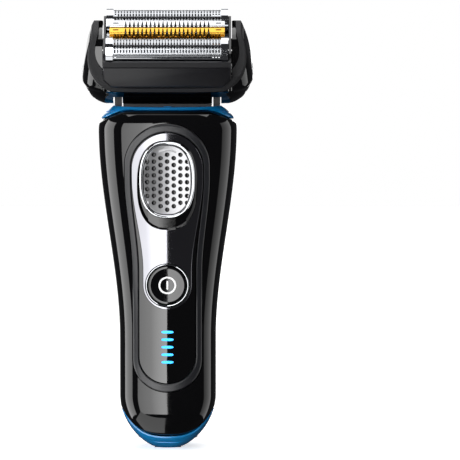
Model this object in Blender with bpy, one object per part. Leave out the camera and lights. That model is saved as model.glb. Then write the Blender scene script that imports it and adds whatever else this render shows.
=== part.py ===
"""Electric foil shaver: a slim handle, a tilting head and a lift-out shaving cassette.

Metres, +Z up, the front faces -Y, the origin is at the middle of the base.
Head pieces are modelled upright about the head's own pivot axis and hang from one empty
that stands on that axis and leans forward.
"""

import math

import bmesh
import bpy

MM = 0.001

# Fits
GAP = 0.3 * MM
SLIDE_GAP = 0.4 * MM

# Handle outside
WAIST_HALF_WIDTH = 18.3 * MM
SHOULDER_HALF_WIDTH = 26.2 * MM
WAIST_FRONT_DEPTH = 14.5 * MM
SHOULDER_FRONT_DEPTH = 17.5 * MM
WAIST_REAR_DEPTH = 14.5 * MM
SHOULDER_REAR_DEPTH = 16.0 * MM
WAIST_Z = 42 * MM
SHOULDER_Z = 121 * MM
BASE_ROUND_HEIGHT = 20 * MM
BASE_FLAT_LIFT = 1.2 * MM
BASE_ROUND_POWER = 1.8
NECK_ROUND_HEIGHT = 14 * MM
NECK_HEIGHT = 8.8 * MM
COLLAR_TOP_Z = SHOULDER_Z + NECK_HEIGHT
SECTION_POWER = 2.7
SECTION_POINTS = 40
SHELL_WALL = 2.0 * MM
PARTING_Y = 2.0 * MM
BASE_SEAM_Z = 4.9 * MM
BASE_SEAM_RISE = 11.5 * MM
COLLAR_BAND = 1.2 * MM
TOP_SEAM_Z = COLLAR_TOP_Z - COLLAR_BAND
TOP_SEAM_DROP = 4.8 * MM
TOP_SEAM_SIDE = 11.2 * MM
TOP_SEAM_FLAT = SHOULDER_HALF_WIDTH - TOP_SEAM_SIDE

# Front panel
SURROUND_TOP_MARGIN = 4.8 * MM
SURROUND_BOTTOM_Z = 22.6 * MM
SURROUND_TOP_Z = TOP_SEAM_Z - SURROUND_TOP_MARGIN
SURROUND_SIDE = 2.1 * MM
SURROUND_END = 2.85 * MM
SURROUND_BOTTOM_CAP = 12.4 * MM
LOBE_TOP_CAP = 15.8 * MM
PANEL_SKIN = 1.6 * MM
PANEL_PROUD = 0.3 * MM
DISPLAY_RECESS = 0.4 * MM
KEYHOLE_SKIN = 0.45 * MM
SURROUND_SKIN = 2.5 * MM

# Power button and charge lights
BUTTON_Z = 63.0 * MM
BUTTON_RADIUS = 7.2 * MM
BUTTON_RING_WIDTH = 0.6 * MM
BUTTON_MARGIN = 0.75 * MM
KEYHOLE_NECK = BUTTON_RADIUS + BUTTON_RING_WIDTH + 2 * GAP + BUTTON_MARGIN
PANEL_STRIP = 1.05 * MM
SURROUND_WAIST = KEYHOLE_NECK + SLIDE_GAP + PANEL_STRIP + GAP + SURROUND_SIDE
BUTTON_THICKNESS = 2.3 * MM
BUTTON_STEM_RADIUS = 2.0 * MM
BUTTON_STEM_LENGTH = 1.6 * MM
LIGHT_COUNT = 5
LIGHT_WIDTH = 4.4 * MM
LIGHT_HEIGHT = 0.9 * MM
LIGHT_PITCH = 2.85 * MM
GUIDE_THICKNESS = 1.2 * MM
FINGER_RECESS = 0.1 * MM
LIGHT_DROP = 17.8 * MM
LIGHT_TOP_Z = BUTTON_Z - LIGHT_DROP

# Head-lock slide
LOCK_TOP_MARGIN = 6.45 * MM
LOCK_HALF_WIDTH = 10.4 * MM
LOCK_HALF_HEIGHT = 14.45 * MM
LOCK_Z = SURROUND_TOP_Z - LOCK_TOP_MARGIN - LOCK_HALF_HEIGHT
LOCK_RIM_WIDTH = 1.2 * MM
LOCK_PROUD = 0.6 * MM
LOCK_RIM_PROUD = 0.3 * MM
LOCK_SKIN = 1.5 * MM
CARRIER_SKIN = 0.7 * MM
LOCK_TRAVEL = 4.0 * MM
LOCK_CLEARANCE = 0.9 * MM
KEYHOLE_MARGIN = 2.1 * MM
KEYHOLE_LOBE = LOCK_HALF_WIDTH + LOCK_CLEARANCE + KEYHOLE_MARGIN
SURROUND_LOBE = KEYHOLE_LOBE + SLIDE_GAP + SURROUND_SIDE
FLARE_LOW_Z = BUTTON_Z + 5 * MM
FLARE_HIGH_Z = LOCK_Z + 1.1 * MM
LOCK_OVAL_POWER = 2.5
LOCK_STEM_HALF_WIDTH = 1.8 * MM
LOCK_STEM_HALF_HEIGHT = 5.0 * MM
BOLT_RADIUS = 1.2 * MM
BOLT_DEPTH = 7.2 * MM
BOLT_Y = BOLT_DEPTH - SHOULDER_FRONT_DEPTH

# Inside the handle
CELL_RADIUS = 7.0 * MM
CELL_LENGTH = 50 * MM
CELL_BOTTOM_Z = 32 * MM
TAB_THICKNESS = 0.5 * MM
CHASSIS_WALL = 1.4 * MM
CHASSIS_MARGIN = 2.4 * MM
CHASSIS_HALF_WIDTH = CELL_RADIUS + CHASSIS_MARGIN + CHASSIS_WALL
CHASSIS_DEPTH = 7.9 * MM
CHASSIS_FRONT_Y = CHASSIS_DEPTH - WAIST_FRONT_DEPTH
CHASSIS_REAR_Y = CHASSIS_FRONT_Y + 10.6 * MM
CHASSIS_BOTTOM_Z = 24 * MM
CHASSIS_TOP_Z = SHOULDER_Z - 3 * MM
BOARD_HALF_WIDTH = 9.0 * MM
BOARD_THICKNESS = 1.4 * MM
BOARD_BOTTOM_Z = 26 * MM
BOARD_TOP_Z = LOCK_Z - 11.9 * MM
SWITCH_SIZE = 6.0 * MM
SWITCH_HEIGHT = 1.4 * MM

# Base
SOCKET_HALF_WIDTH = 4.3 * MM
SOCKET_HALF_DEPTH = 2.5 * MM
SOCKET_WALL = 0.7 * MM
SOCKET_DEPTH = 8.0 * MM
CHARGE_PIN_RADIUS = 0.6 * MM
CHARGE_PIN_LENGTH = 2.9 * MM
CHARGE_PIN_X = 2.2 * MM
SCREW_X = 9.6 * MM
SCREW_HEAD_RADIUS = 1.6 * MM
SCREW_SHANK_RADIUS = 0.8 * MM
SCREW_SEAT_Z = 5.0 * MM
SCREW_LENGTH = 7.0 * MM
BOSS_TOP_Z = 13.0 * MM
REAR_CONTACT_X = 5.5 * MM
REAR_CONTACT_Z = 30 * MM
REAR_CONTACT_SIZE = 3.0 * MM
REAR_CONTACT_RECESS = 0.5 * MM
GRIP_HALF_WIDTH = 10.5 * MM
GRIP_BOTTOM_Z = 40 * MM
GRIP_THICKNESS = 0.8 * MM

# Long-hair trimmer on the rear
TRIMMER_HALF_WIDTH = 11.0 * MM
TRIMMER_TOP_Z = SHOULDER_Z - MM
TRIMMER_HEIGHT = 26 * MM
TRIMMER_BOTTOM_Z = TRIMMER_TOP_Z - TRIMMER_HEIGHT
TRIMMER_BEDDING = 0.6 * MM
TRIMMER_THICKNESS = 5.7 * MM
TRIMMER_FRONT_Y = SHOULDER_REAR_DEPTH - TRIMMER_BEDDING
TRIMMER_REAR_Y = TRIMMER_FRONT_Y + TRIMMER_THICKNESS
TRIMMER_SHOULDER_Z = TRIMMER_TOP_Z - 8 * MM
GRIP_TOP_Z = TRIMMER_BOTTOM_Z - 6 * MM
TRIMMER_COVER = 1.4 * MM
TRIMMER_TOOTH_PITCH = 1.5 * MM
TRIMMER_TOOTH_DEPTH = 2.2 * MM
TRIMMER_BLADE_TRAVEL = 0.6 * MM

# Cutting rows, side by side across the head's depth
FOIL_RADIUS = 4.4 * MM
FOIL_THICKNESS = 0.3 * MM
CLIP_LENGTH = 3.4 * MM
CLIP_THICKNESS = 0.3 * MM
CLIP_RADIUS = FOIL_RADIUS + GAP + CLIP_THICKNESS
GUARD_HALF_WIDTH = 1.85 * MM
GUARD_OFFSET = GUARD_HALF_WIDTH + GAP
GUARD_WALL = 0.5 * MM
ROW_CLEARANCE = 0.1 * MM
DRIVE_OFFSET = GUARD_OFFSET + GUARD_HALF_WIDTH + ROW_CLEARANCE + CLIP_RADIUS
CASSETTE_WALL = 0.8 * MM
CASSETTE_HALF_DEPTH = DRIVE_OFFSET + CLIP_RADIUS + ROW_CLEARANCE + CASSETTE_WALL
BRIDGE_HALF_DEPTH = 1.6 * MM
DECK_WALL = 1.0 * MM
DECK_HALF_DEPTH = DRIVE_OFFSET + BRIDGE_HALF_DEPTH + GAP + DECK_WALL
BELT_THICKNESS = 1.8 * MM

# Head outside, measured from the pivot along the head's own depth and height
HEAD_OVERHANG = 6.1 * MM
HEAD_HALF_WIDTH = SHOULDER_HALF_WIDTH + HEAD_OVERHANG
HEAD_HALF_DEPTH = DECK_HALF_DEPTH + SLIDE_GAP + BELT_THICKNESS
HEAD_LOW_SETBACK = 1.6 * MM
HEAD_LOW_RADIUS = HEAD_HALF_DEPTH - HEAD_LOW_SETBACK
HEAD_END_LENGTH = 10.3 * MM
HEAD_TOP = 19.5 * MM
HEAD_TAPER = 2.2 * MM
HEAD_LATE_TAPER = 2.9 * MM
HEAD_SKIRT = 3.0 * MM
HEAD_SKIRT_WIDTH_SHARE = 0.96
HEAD_SKIRT_DEPTH_SHARE = 0.86
HEAD_PLAN_POWER = 4.0
HEAD_WALL = 1.8 * MM
RIM_BASE = 1.8 * MM
RIM_RISE = HEAD_TOP - RIM_BASE - 0.7 * MM
RIM_FRONT_MARGIN = 0.8 * MM
RIM_REAR_MARGIN = 1.5 * MM
BELT_WIDTH = 1.7 * MM
HEAD_ARM = 8.1 * MM
WELL_HALF_WIDTH = HEAD_HALF_WIDTH - HEAD_ARM
WELL_LEDGE = 2.4 * MM
SHELL_HALF_LENGTH = WELL_HALF_WIDTH - WELL_LEDGE
RELEASE_HALF_DEPTH = 7.0 * MM
RELEASE_BOTTOM = -8.0 * MM
RELEASE_TOP = 5.5 * MM
RELEASE_THICKNESS = 2.7 * MM
RELEASE_INNER_X = HEAD_HALF_WIDTH - RELEASE_THICKNESS
RELEASE_TRAVEL = 1.5 * MM
DECK_HALF_WIDTH = SHELL_HALF_LENGTH - SLIDE_GAP
DECK_TOP = 6.1 * MM

# Head pivot
HEAD_CLEARANCE = 0.4 * MM
PIVOT_Z = COLLAR_TOP_Z + HEAD_CLEARANCE + HEAD_LOW_RADIUS
HEAD_LEAN = math.radians(32)
TILT_RANGE = math.radians(20)
LUG_THICKNESS = 2.6 * MM
LUG_SETBACK = 9.0 * MM
LUG_INNER_X = SHOULDER_HALF_WIDTH - LUG_SETBACK
LUG_HALF_DEPTH = 4.0 * MM
SEAT_HALF_DEPTH = 8.0 * MM
SEAT_FRONT_LIFT = 0.8 * MM
SEAT_REAR_LIFT = 1.8 * MM
SEAT_SETBACK = 0.7 * MM
SEAT_MARGIN = 0.2 * MM
PIVOT_PIN_RADIUS = 1.5 * MM
PIVOT_PIN_LENGTH = 9.5 * MM

# Drive
DRIVE_TRAVEL = 1.2 * MM
DRIVE_PIN_RADIUS = 1.4 * MM
BRIDGE_HALF_WIDTH = 12.0 * MM
BRIDGE_THICKNESS = 1.3 * MM
BRIDGE_TOP = DECK_TOP - DECK_WALL - 0.9 * MM
MOTOR_HALF_WIDTH = LUG_INNER_X - 1.7 * MM
MOTOR_RADIUS = HEAD_LOW_RADIUS - HEAD_WALL - 0.6 * MM
MOTOR_TOP = BRIDGE_TOP - BRIDGE_THICKNESS - 0.6 * MM
MOTOR_WALL = 0.8 * MM

# Cassette
CASSETTE_HALF_WIDTH = WELL_HALF_WIDTH - GAP
CASSETTE_BOTTOM = RIM_BASE + 0.8 * MM
CASSETTE_TOP = 14.4 * MM
CASSETTE_CHAMFER = 3.4 * MM
END_WALL_TOP = CASSETTE_TOP + 4.1 * MM
END_WALL_HALF_DEPTH = 12.0 * MM
FOIL_HALF_LENGTH = CASSETTE_HALF_WIDTH - CASSETTE_WALL - GAP
FOIL_AXIS = CASSETTE_TOP + 1.5 * MM
FOIL_FRAME_HEIGHT = 3.2 * MM
FOIL_FRAME_HALF_DEPTH = FOIL_RADIUS + 0.05 * MM
FOIL_FRAME_WALL = 0.8 * MM
CUTTER_RADIUS = FOIL_RADIUS - FOIL_THICKNESS - SLIDE_GAP
CUTTER_GROOVE = 0.9 * MM
CUTTER_HALF_LENGTH = FOIL_HALF_LENGTH - CLIP_LENGTH - SLIDE_GAP
CUTTER_FIN_PITCH = 3.8 * MM
CUTTER_BOSS_BOTTOM = FOIL_AXIS - 5.3 * MM
CUTTER_BOSS_RADIUS = DRIVE_PIN_RADIUS + 1.5 * MM
CUTTER_SOCKET_TOP = FOIL_AXIS - 1.1 * MM
DRIVE_PIN_TOP = CUTTER_SOCKET_TOP - 1.9 * MM
GUARD_HALF_LENGTH = FOIL_HALF_LENGTH - 1.3 * MM
GUARD_TOP = FOIL_AXIS + FOIL_RADIUS - 0.1 * MM
GUARD_BOTTOM = CASSETTE_TOP - 1.4 * MM
GUARD_SLOT_PITCH = 2.2 * MM
GUARD_SLOT_WIDTH = 1.0 * MM
BLADE_HALF_LENGTH = GUARD_HALF_LENGTH - 2.1 * MM

REACH = 60 * MM


def material(name, colour, roughness, metallic=0.0):
    """One Principled BSDF finish."""
    made = bpy.data.materials.new(name)
    made.use_nodes = True
    shader = made.node_tree.nodes["Principled BSDF"]
    shader.inputs["Base Color"].default_value = (*colour, 1)
    shader.inputs["Roughness"].default_value = roughness
    shader.inputs["Metallic"].default_value = metallic
    return made


def black_gloss(name):
    return material(name, (0.012, 0.012, 0.014), 0.08)


def black_matte(name):
    return material(name, (0.02, 0.02, 0.022), 0.55)


def blue_plastic(name):
    return material(name, (0.0, 0.16, 0.52), 0.3)


def bright_metal(name):
    return material(name, (0.72, 0.72, 0.74), 0.15, 1.0)


def grey_plastic(name):
    return material(name, (0.3, 0.31, 0.32), 0.5)


def gold_metal(name):
    return material(name, (0.83, 0.6, 0.2), 0.25, 1.0)


def mesh_object(name, points, faces, finish=None, parent=None):
    """A closed mesh with its faces pointing out; without a finish it is a cutter."""
    mesh = bpy.data.meshes.new(name)
    mesh.from_pydata(points, [], faces)
    bm = bmesh.new()
    bm.from_mesh(mesh)
    bmesh.ops.recalc_face_normals(bm, faces=bm.faces)
    bm.to_mesh(mesh)
    bm.free()
    made = bpy.data.objects.new(name, mesh)
    bpy.context.scene.collection.objects.link(made)
    made.parent = parent
    if finish is None:
        made.hide_render = True
        made.display_type = "WIRE"
    else:
        mesh.materials.append(finish)
        mesh.shade_smooth()
        mesh.set_sharp_from_angle(angle=math.radians(35))
    return made


def loft(name, rings, finish=None, parent=None):
    """Skin a list of rings that all have the same number of points, and close both ends."""
    count = len(rings[0])
    points = [point for ring in rings for point in ring]
    faces = []
    for row in range(len(rings) - 1):
        for i in range(count):
            j = (i + 1) % count
            low = row * count
            high = low + count
            faces.append((low + i, low + j, high + j, high + i))
    faces.append(tuple(range(count)))
    last = (len(rings) - 1) * count
    faces.append(tuple(range(last, last + count)))
    return mesh_object(name, points, faces, finish, parent)


def box(name, low, high, finish=None, parent=None):
    """A block between two opposite corners."""
    rings = []
    for z in (low[2], high[2]):
        front = [(low[0], low[1], z), (high[0], low[1], z)]
        rear = [(high[0], high[1], z), (low[0], high[1], z)]
        rings.append(front + rear)
    return loft(name, rings, finish, parent)


def prism_x(name, outline, low, high, finish=None, parent=None):
    """Extrude a (y, z) outline along X."""
    rings = [[(x, y, z) for y, z in outline] for x in (low, high)]
    return loft(name, rings, finish, parent)


def prism_y(name, outline, low, high, finish=None, parent=None):
    """Extrude an (x, z) outline along Y."""
    rings = [[(x, y, z) for x, z in outline] for y in (low, high)]
    return loft(name, rings, finish, parent)


def prism_z(name, outline, low, high, finish=None, parent=None):
    """Extrude an (x, y) outline along Z."""
    rings = [[(x, y, z) for x, y in outline] for z in (low, high)]
    return loft(name, rings, finish, parent)


def circle(radius, centre=(0, 0), count=24, start=0.0, sweep=2 * math.pi):
    """Points on a circle, or on an arc that includes both its ends."""
    steps = count if sweep >= 2 * math.pi else count - 1
    angles = [start + sweep * i / steps for i in range(count)]
    return [(centre[0] + radius * math.cos(a), centre[1] + radius * math.sin(a)) for a in angles]


def rounded_power(value, power):
    return math.copysign(abs(value) ** (2 / power), value)


def oval(half_width, half_height, centre=(0, 0), power=2.0, count=32):
    """A superellipse, rounder at power 2 and squarer above it."""
    points = []
    for i in range(count):
        angle = 2 * math.pi * (i + 0.5) / count
        across = half_width * rounded_power(math.cos(angle), power)
        along = half_height * rounded_power(math.sin(angle), power)
        points.append((centre[0] + across, centre[1] + along))
    return points


def combine(target, tool, operation):
    """Add one Boolean modifier to the target."""
    step = target.modifiers.new(operation.title(), "BOOLEAN")
    step.operation = operation
    step.solver = "EXACT"
    step.object = tool
    return target


def cut(target, tool):
    return combine(target, tool, "DIFFERENCE")


def keep(target, tool):
    return combine(target, tool, "INTERSECT")


def join(target, tool):
    return combine(target, tool, "UNION")


def smoothstep(value):
    t = min(max(value, 0.0), 1.0)
    return t * t * (3 - 2 * t)


# Handle form


def base_rounding(z):
    """How much of its full section the handle has near its rounded foot."""
    rise = max(0.0, 1 - (z + BASE_FLAT_LIFT) / (BASE_ROUND_HEIGHT + BASE_FLAT_LIFT))
    return (1 - rise**BASE_ROUND_POWER) ** (1 / BASE_ROUND_POWER)


def neck_rounding(z):
    """How much of its full section the handle has above the shoulder."""
    rise = max(0.0, z - SHOULDER_Z) / NECK_ROUND_HEIGHT
    return math.sqrt(max(0.0, 1 - rise * rise))


def section_size(z, waist, shoulder):
    grow = smoothstep((z - WAIST_Z) / (SHOULDER_Z - WAIST_Z))
    return (waist + (shoulder - waist) * grow) * base_rounding(z) * neck_rounding(z)


def handle_ring(z, inset):
    """One level section of the handle, moved inwards by the inset."""
    half_width = section_size(z, WAIST_HALF_WIDTH, SHOULDER_HALF_WIDTH) - inset
    front = section_size(z, WAIST_FRONT_DEPTH, SHOULDER_FRONT_DEPTH) - inset
    rear = section_size(z, WAIST_REAR_DEPTH, SHOULDER_REAR_DEPTH) - inset
    ring = []
    for x, y in oval(1, 1, power=SECTION_POWER, count=SECTION_POINTS):
        ring.append((x * half_width, y * (rear if y > 0 else front), z))
    return ring


def handle_levels():
    """Heights of the handle's sections, closer together where it is rounded."""
    foot = [BASE_ROUND_HEIGHT * (i / 6) ** 1.6 for i in range(7)]
    grip = [BASE_ROUND_HEIGHT + (SHOULDER_Z - BASE_ROUND_HEIGHT) * i / 7 for i in range(1, 8)]
    neck = [SHOULDER_Z + (COLLAR_TOP_Z - SHOULDER_Z) * i / 4 for i in range(1, 5)]
    return foot + grip + neck


def handle_solid(name, inset, low, high, finish=None):
    """The handle's form between two heights."""
    inside = [z for z in handle_levels() if low + GAP < z < high - GAP]
    return loft(name, [handle_ring(z, inset) for z in [low] + inside + [high]], finish)


def front_y(z, inset=0.0):
    """Where the front of the handle lies on its centre line."""
    return inset - section_size(z, WAIST_FRONT_DEPTH, SHOULDER_FRONT_DEPTH)


def rear_y(z, inset=0.0):
    return section_size(z, WAIST_REAR_DEPTH, SHOULDER_REAR_DEPTH) - inset


def base_seam(x):
    return BASE_SEAM_Z + BASE_SEAM_RISE * (abs(x) / WAIST_HALF_WIDTH) ** 3


def top_seam(x):
    side = max(0.0, abs(x) - TOP_SEAM_FLAT) / (SHOULDER_HALF_WIDTH - TOP_SEAM_FLAT)
    return TOP_SEAM_Z - TOP_SEAM_DROP * side**1.5


def seam_outline(bottom, top):
    """The area of the front view between two curves of x."""
    steps = [-REACH + 2 * REACH * i / 80 for i in range(81)]
    steps = [x for x in steps if abs(x) <= SHOULDER_HALF_WIDTH * 1.2]
    return [(x, bottom(x)) for x in steps] + [(x, top(x)) for x in reversed(steps)]


def skin(name, outline, outer, inner, finish, side=-1):
    """A plate of the handle's own curve: the outline's part of the skin between two insets."""
    low = min(z for _, z in outline) - MM
    high = max(z for _, z in outline) + MM
    plate = handle_solid(name, outer, low, high, finish)
    cut(plate, handle_solid(name + "_core", inner, low - MM, high + MM))
    keep(plate, prism_y(name + "_outline", outline, min(0, side * REACH), max(0, side * REACH)))
    return plate


# Front panel outlines


def pin_outline(neck, lobe, bottom_z, top_z, bottom_cap, top_cap):
    """A bowling-pin outline: a straight lower part that flares into a round head."""
    heights = []
    for i in range(9):
        angle = math.pi / 2 * i / 8
        heights.append((bottom_z + bottom_cap * (1 - math.cos(angle)), neck * math.sin(angle)))
    for i in range(1, 9):
        z = FLARE_LOW_Z + (FLARE_HIGH_Z - FLARE_LOW_Z) * i / 8
        heights.append((z, neck + (lobe - neck) * smoothstep(i / 8)))
    for i in range(1, 10):
        angle = math.pi / 2 * i / 9
        heights.append((top_z - top_cap * (1 - math.sin(angle)), lobe * math.cos(angle)))
    right = [(half, z) for z, half in heights[1:-1]]
    left = [(-half, z) for half, z in reversed(right)]
    return [(0, bottom_z)] + right + [(0, top_z)] + left


def surround_outline(side=0.0, end=0.0):
    return pin_outline(
        SURROUND_WAIST - side,
        SURROUND_LOBE - side,
        SURROUND_BOTTOM_Z + end,
        SURROUND_TOP_Z - end,
        SURROUND_BOTTOM_CAP - side,
        LOBE_TOP_CAP - side,
    )


def keyhole_outline():
    top_z = SURROUND_TOP_Z - SURROUND_END - SLIDE_GAP
    top_cap = LOBE_TOP_CAP - SURROUND_SIDE
    return pin_outline(KEYHOLE_NECK, KEYHOLE_LOBE, BUTTON_Z - KEYHOLE_NECK, top_z, KEYHOLE_NECK, top_cap)


def recess_outline(margin=0.0):
    """The hole that the lock slide travels in, with its free space below the slide."""
    return oval(
        LOCK_HALF_WIDTH + LOCK_CLEARANCE + margin,
        LOCK_HALF_HEIGHT + LOCK_CLEARANCE / 2 + LOCK_TRAVEL / 2 + margin,
        (0, LOCK_Z - LOCK_TRAVEL / 2),
        LOCK_OVAL_POWER,
    )


def lock_outline(margin):
    return oval(LOCK_HALF_WIDTH - margin, LOCK_HALF_HEIGHT - margin, (0, LOCK_Z), LOCK_OVAL_POWER)


def rod_y(name, radius, x, z, low, high, finish=None, count=24):
    return prism_y(name, circle(radius, (x, z), count), low, high, finish)


def light_heights():
    return [LIGHT_TOP_Z - LIGHT_PITCH * i for i in range(LIGHT_COUNT)]


def build_shells():
    """The two halves of the handle's casing, split behind the middle."""
    for name, side, finish in (
        ("front_shell", -1, black_gloss("piano_black")),
        ("rear_shell", 1, black_matte("rear_black")),
    ):
        shell = handle_solid(name, 0, 0, COLLAR_TOP_Z, finish)
        cut(shell, handle_solid(name + "_hollow", SHELL_WALL, SHELL_WALL, COLLAR_TOP_Z + MM))
        seam = seam_outline(lambda x: base_seam(x) + GAP, top_seam)
        start = PARTING_Y + side * GAP / 2
        keep(shell, prism_y(name + "_half", seam, min(start, side * REACH), max(start, side * REACH)))
        if side < 0:
            cut(shell, prism_y(name + "_window", surround_outline(-GAP, -GAP), -REACH, 0))
        else:
            cut_rear_openings(shell)


def cut_rear_openings(shell):
    """The trimmer's channel and the two holes for the charging contacts."""
    channel_low = (-TRIMMER_HALF_WIDTH - SLIDE_GAP, TRIMMER_FRONT_Y - GAP, TRIMMER_BOTTOM_Z - MM)
    channel_high = (TRIMMER_HALF_WIDTH + SLIDE_GAP, REACH, COLLAR_TOP_Z + MM)
    cut(shell, box("trimmer_channel", channel_low, channel_high))
    for side in (-1, 1):
        half = REAR_CONTACT_SIZE / 2 + GAP
        low = (side * REAR_CONTACT_X - half, 0, REAR_CONTACT_Z - 2 * half)
        high = (side * REAR_CONTACT_X + half, REACH, REAR_CONTACT_Z + 2 * half)
        cut(shell, box("contact_hole", low, high))


def build_base_cap():
    """The foot of the handle, with the socket's opening and two screw bosses."""
    cap = handle_solid("base_cap", 0, 0, WAIST_Z, blue_plastic("base_blue"))
    cut(cap, handle_solid("base_hollow", SHELL_WALL, SHELL_WALL, WAIST_Z + MM))
    for side in (-1, 1):
        centre = (side * SCREW_X, 0)
        outline = circle(SCREW_HEAD_RADIUS + 1.4 * MM, centre, 16)
        join(cap, prism_z("screw_boss", outline, SCREW_SEAT_Z - MM, BOSS_TOP_Z))
    for side in (-1, 1):
        centre = (side * SCREW_X, 0)
        cut(cap, prism_z("head_hole", circle(SCREW_HEAD_RADIUS + GAP, centre, 16), -MM, SCREW_SEAT_Z))
        cut(cap, prism_z("shank_hole", circle(SCREW_SHANK_RADIUS + GAP, centre, 12), 0, REACH))
    width = SOCKET_HALF_WIDTH + SOCKET_WALL + GAP
    depth = SOCKET_HALF_DEPTH + SOCKET_WALL + GAP
    cut(cap, box("socket_hole", (-width, -depth, -MM), (width, depth, SHELL_WALL + 2 * MM)))
    keep(cap, prism_y("base_area", seam_outline(lambda x: -MM, base_seam), -REACH, REACH))


def build_base_screws():
    for name, side in (("base_screw_left", -1), ("base_screw_right", 1)):
        centre = (side * SCREW_X, 0)
        head_top = SCREW_SEAT_Z - GAP
        finish = bright_metal(name + "_steel")
        outline = circle(SCREW_HEAD_RADIUS, centre, 16)
        screw = prism_z(name, outline, head_top - SCREW_HEAD_RADIUS * 0.8, head_top, finish)
        outline = circle(SCREW_SHANK_RADIUS, centre, 12)
        join(screw, prism_z(name + "_shank", outline, head_top - GAP, head_top + SCREW_LENGTH))
        slot_z = head_top - SCREW_HEAD_RADIUS * 0.4
        low = (centre[0] - 0.3 * MM, -REACH, 0)
        cut(screw, box(name + "_slot", low, (centre[0] + 0.3 * MM, REACH, slot_z)))


def build_charging_socket():
    """A square-cornered cup with its mouth in the foot, and its two pins."""
    width = SOCKET_HALF_WIDTH
    depth = SOCKET_HALF_DEPTH
    wall = SOCKET_WALL
    low = (-width - wall, -depth - wall, 0)
    high = (width + wall, depth + wall, SOCKET_DEPTH + wall)
    cup = box("charging_socket", low, high, black_matte("socket_black"))
    cut(cup, box("socket_mouth", (-width, -depth, -MM), (width, depth, SOCKET_DEPTH)))
    for name, side in (("charge_pin_left", -1), ("charge_pin_right", 1)):
        outline = circle(CHARGE_PIN_RADIUS, (side * CHARGE_PIN_X, 0), 12)
        top = SOCKET_DEPTH - GAP
        prism_z(name, outline, top - CHARGE_PIN_LENGTH, top, bright_metal(name + "_steel"))


def build_rear_contacts():
    for name, side in (("rear_contact_left", -1), ("rear_contact_right", 1)):
        half = REAR_CONTACT_SIZE / 2
        face = rear_y(REAR_CONTACT_Z, REAR_CONTACT_RECESS)
        low = (side * REAR_CONTACT_X - half, face - SHELL_WALL, REAR_CONTACT_Z - 2 * half)
        high = (side * REAR_CONTACT_X + half, face, REAR_CONTACT_Z + 2 * half)
        box(name, low, high, bright_metal(name + "_steel"))


def build_rear_grip():
    centre = (0, (GRIP_BOTTOM_Z + GRIP_TOP_Z) / 2)
    outline = oval(GRIP_HALF_WIDTH, (GRIP_TOP_Z - GRIP_BOTTOM_Z) / 2, centre, 3.2)
    skin("rear_grip", outline, -GAP - GRIP_THICKNESS, -GAP, black_matte("grip_rubber"), side=1)


def build_front_panel():
    """Surround, display panel, keyhole plate and the lock slide's track."""
    proud = -PANEL_PROUD
    back = proud + SURROUND_SKIN
    surround = skin("panel_surround", surround_outline(), proud, back, grey_plastic("satin_grey"))
    cut(surround, prism_y("surround_inside", surround_outline(SURROUND_SIDE, SURROUND_END), -REACH, 0))
    inside = surround_outline(SURROUND_SIDE + GAP, SURROUND_END + GAP)
    face = DISPLAY_RECESS
    display = skin("display_panel", inside, face, face + PANEL_SKIN, black_gloss("display_black"))
    back = proud + KEYHOLE_SKIN
    keyhole = skin("keyhole_plate", keyhole_outline(), proud, back, bright_metal("dark_mirror"))
    ring_radius = BUTTON_RADIUS + BUTTON_RING_WIDTH + 2 * GAP
    for plate in (display, keyhole):
        cut(plate, prism_y("recess_hole", recess_outline(), -REACH, 0))
        cut(plate, rod_y("button_hole", ring_radius, 0, BUTTON_Z, -REACH, 0))
    for z in light_heights():
        half_width = LIGHT_WIDTH / 2 + GAP
        half_height = LIGHT_HEIGHT / 2 + GAP
        low = (-half_width, -REACH, z - half_height)
        cut(display, box("light_hole", low, (half_width, 0, z + half_height)))
    back = face + PANEL_SKIN + GAP
    track = skin("lock_track", recess_outline(MM), back, back + MM, black_gloss("track_black"))
    slot_low = LOCK_Z - LOCK_STEM_HALF_HEIGHT - LOCK_TRAVEL - SLIDE_GAP
    slot_high = LOCK_Z + LOCK_STEM_HALF_HEIGHT + SLIDE_GAP
    slot_half = LOCK_STEM_HALF_WIDTH + SLIDE_GAP
    cut(track, box("track_slot", (-slot_half, -REACH, slot_low), (slot_half, 0, slot_high)))


def build_light_guide():
    """A clear comb: one back plate with a finger in each of the display's slots."""
    heights = light_heights()
    back = DISPLAY_RECESS + PANEL_SKIN + GAP
    plate_y = front_y(LIGHT_TOP_Z, back)
    low = (-LIGHT_WIDTH / 2 - MM, plate_y, heights[-1] - LIGHT_PITCH / 2)
    high = (LIGHT_WIDTH / 2 + MM, plate_y + GUIDE_THICKNESS, heights[0] + LIGHT_PITCH / 2)
    guide = box("light_guide", low, high, material("lit_blue", (0.1, 0.65, 1.0), 0.2))
    for z in heights:
        finger_y = front_y(z, DISPLAY_RECESS + FINGER_RECESS)
        finger_low = (-LIGHT_WIDTH / 2, finger_y, z - LIGHT_HEIGHT / 2)
        join(guide, box("finger", finger_low, (LIGHT_WIDTH / 2, plate_y + MM, z + LIGHT_HEIGHT / 2)))


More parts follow.
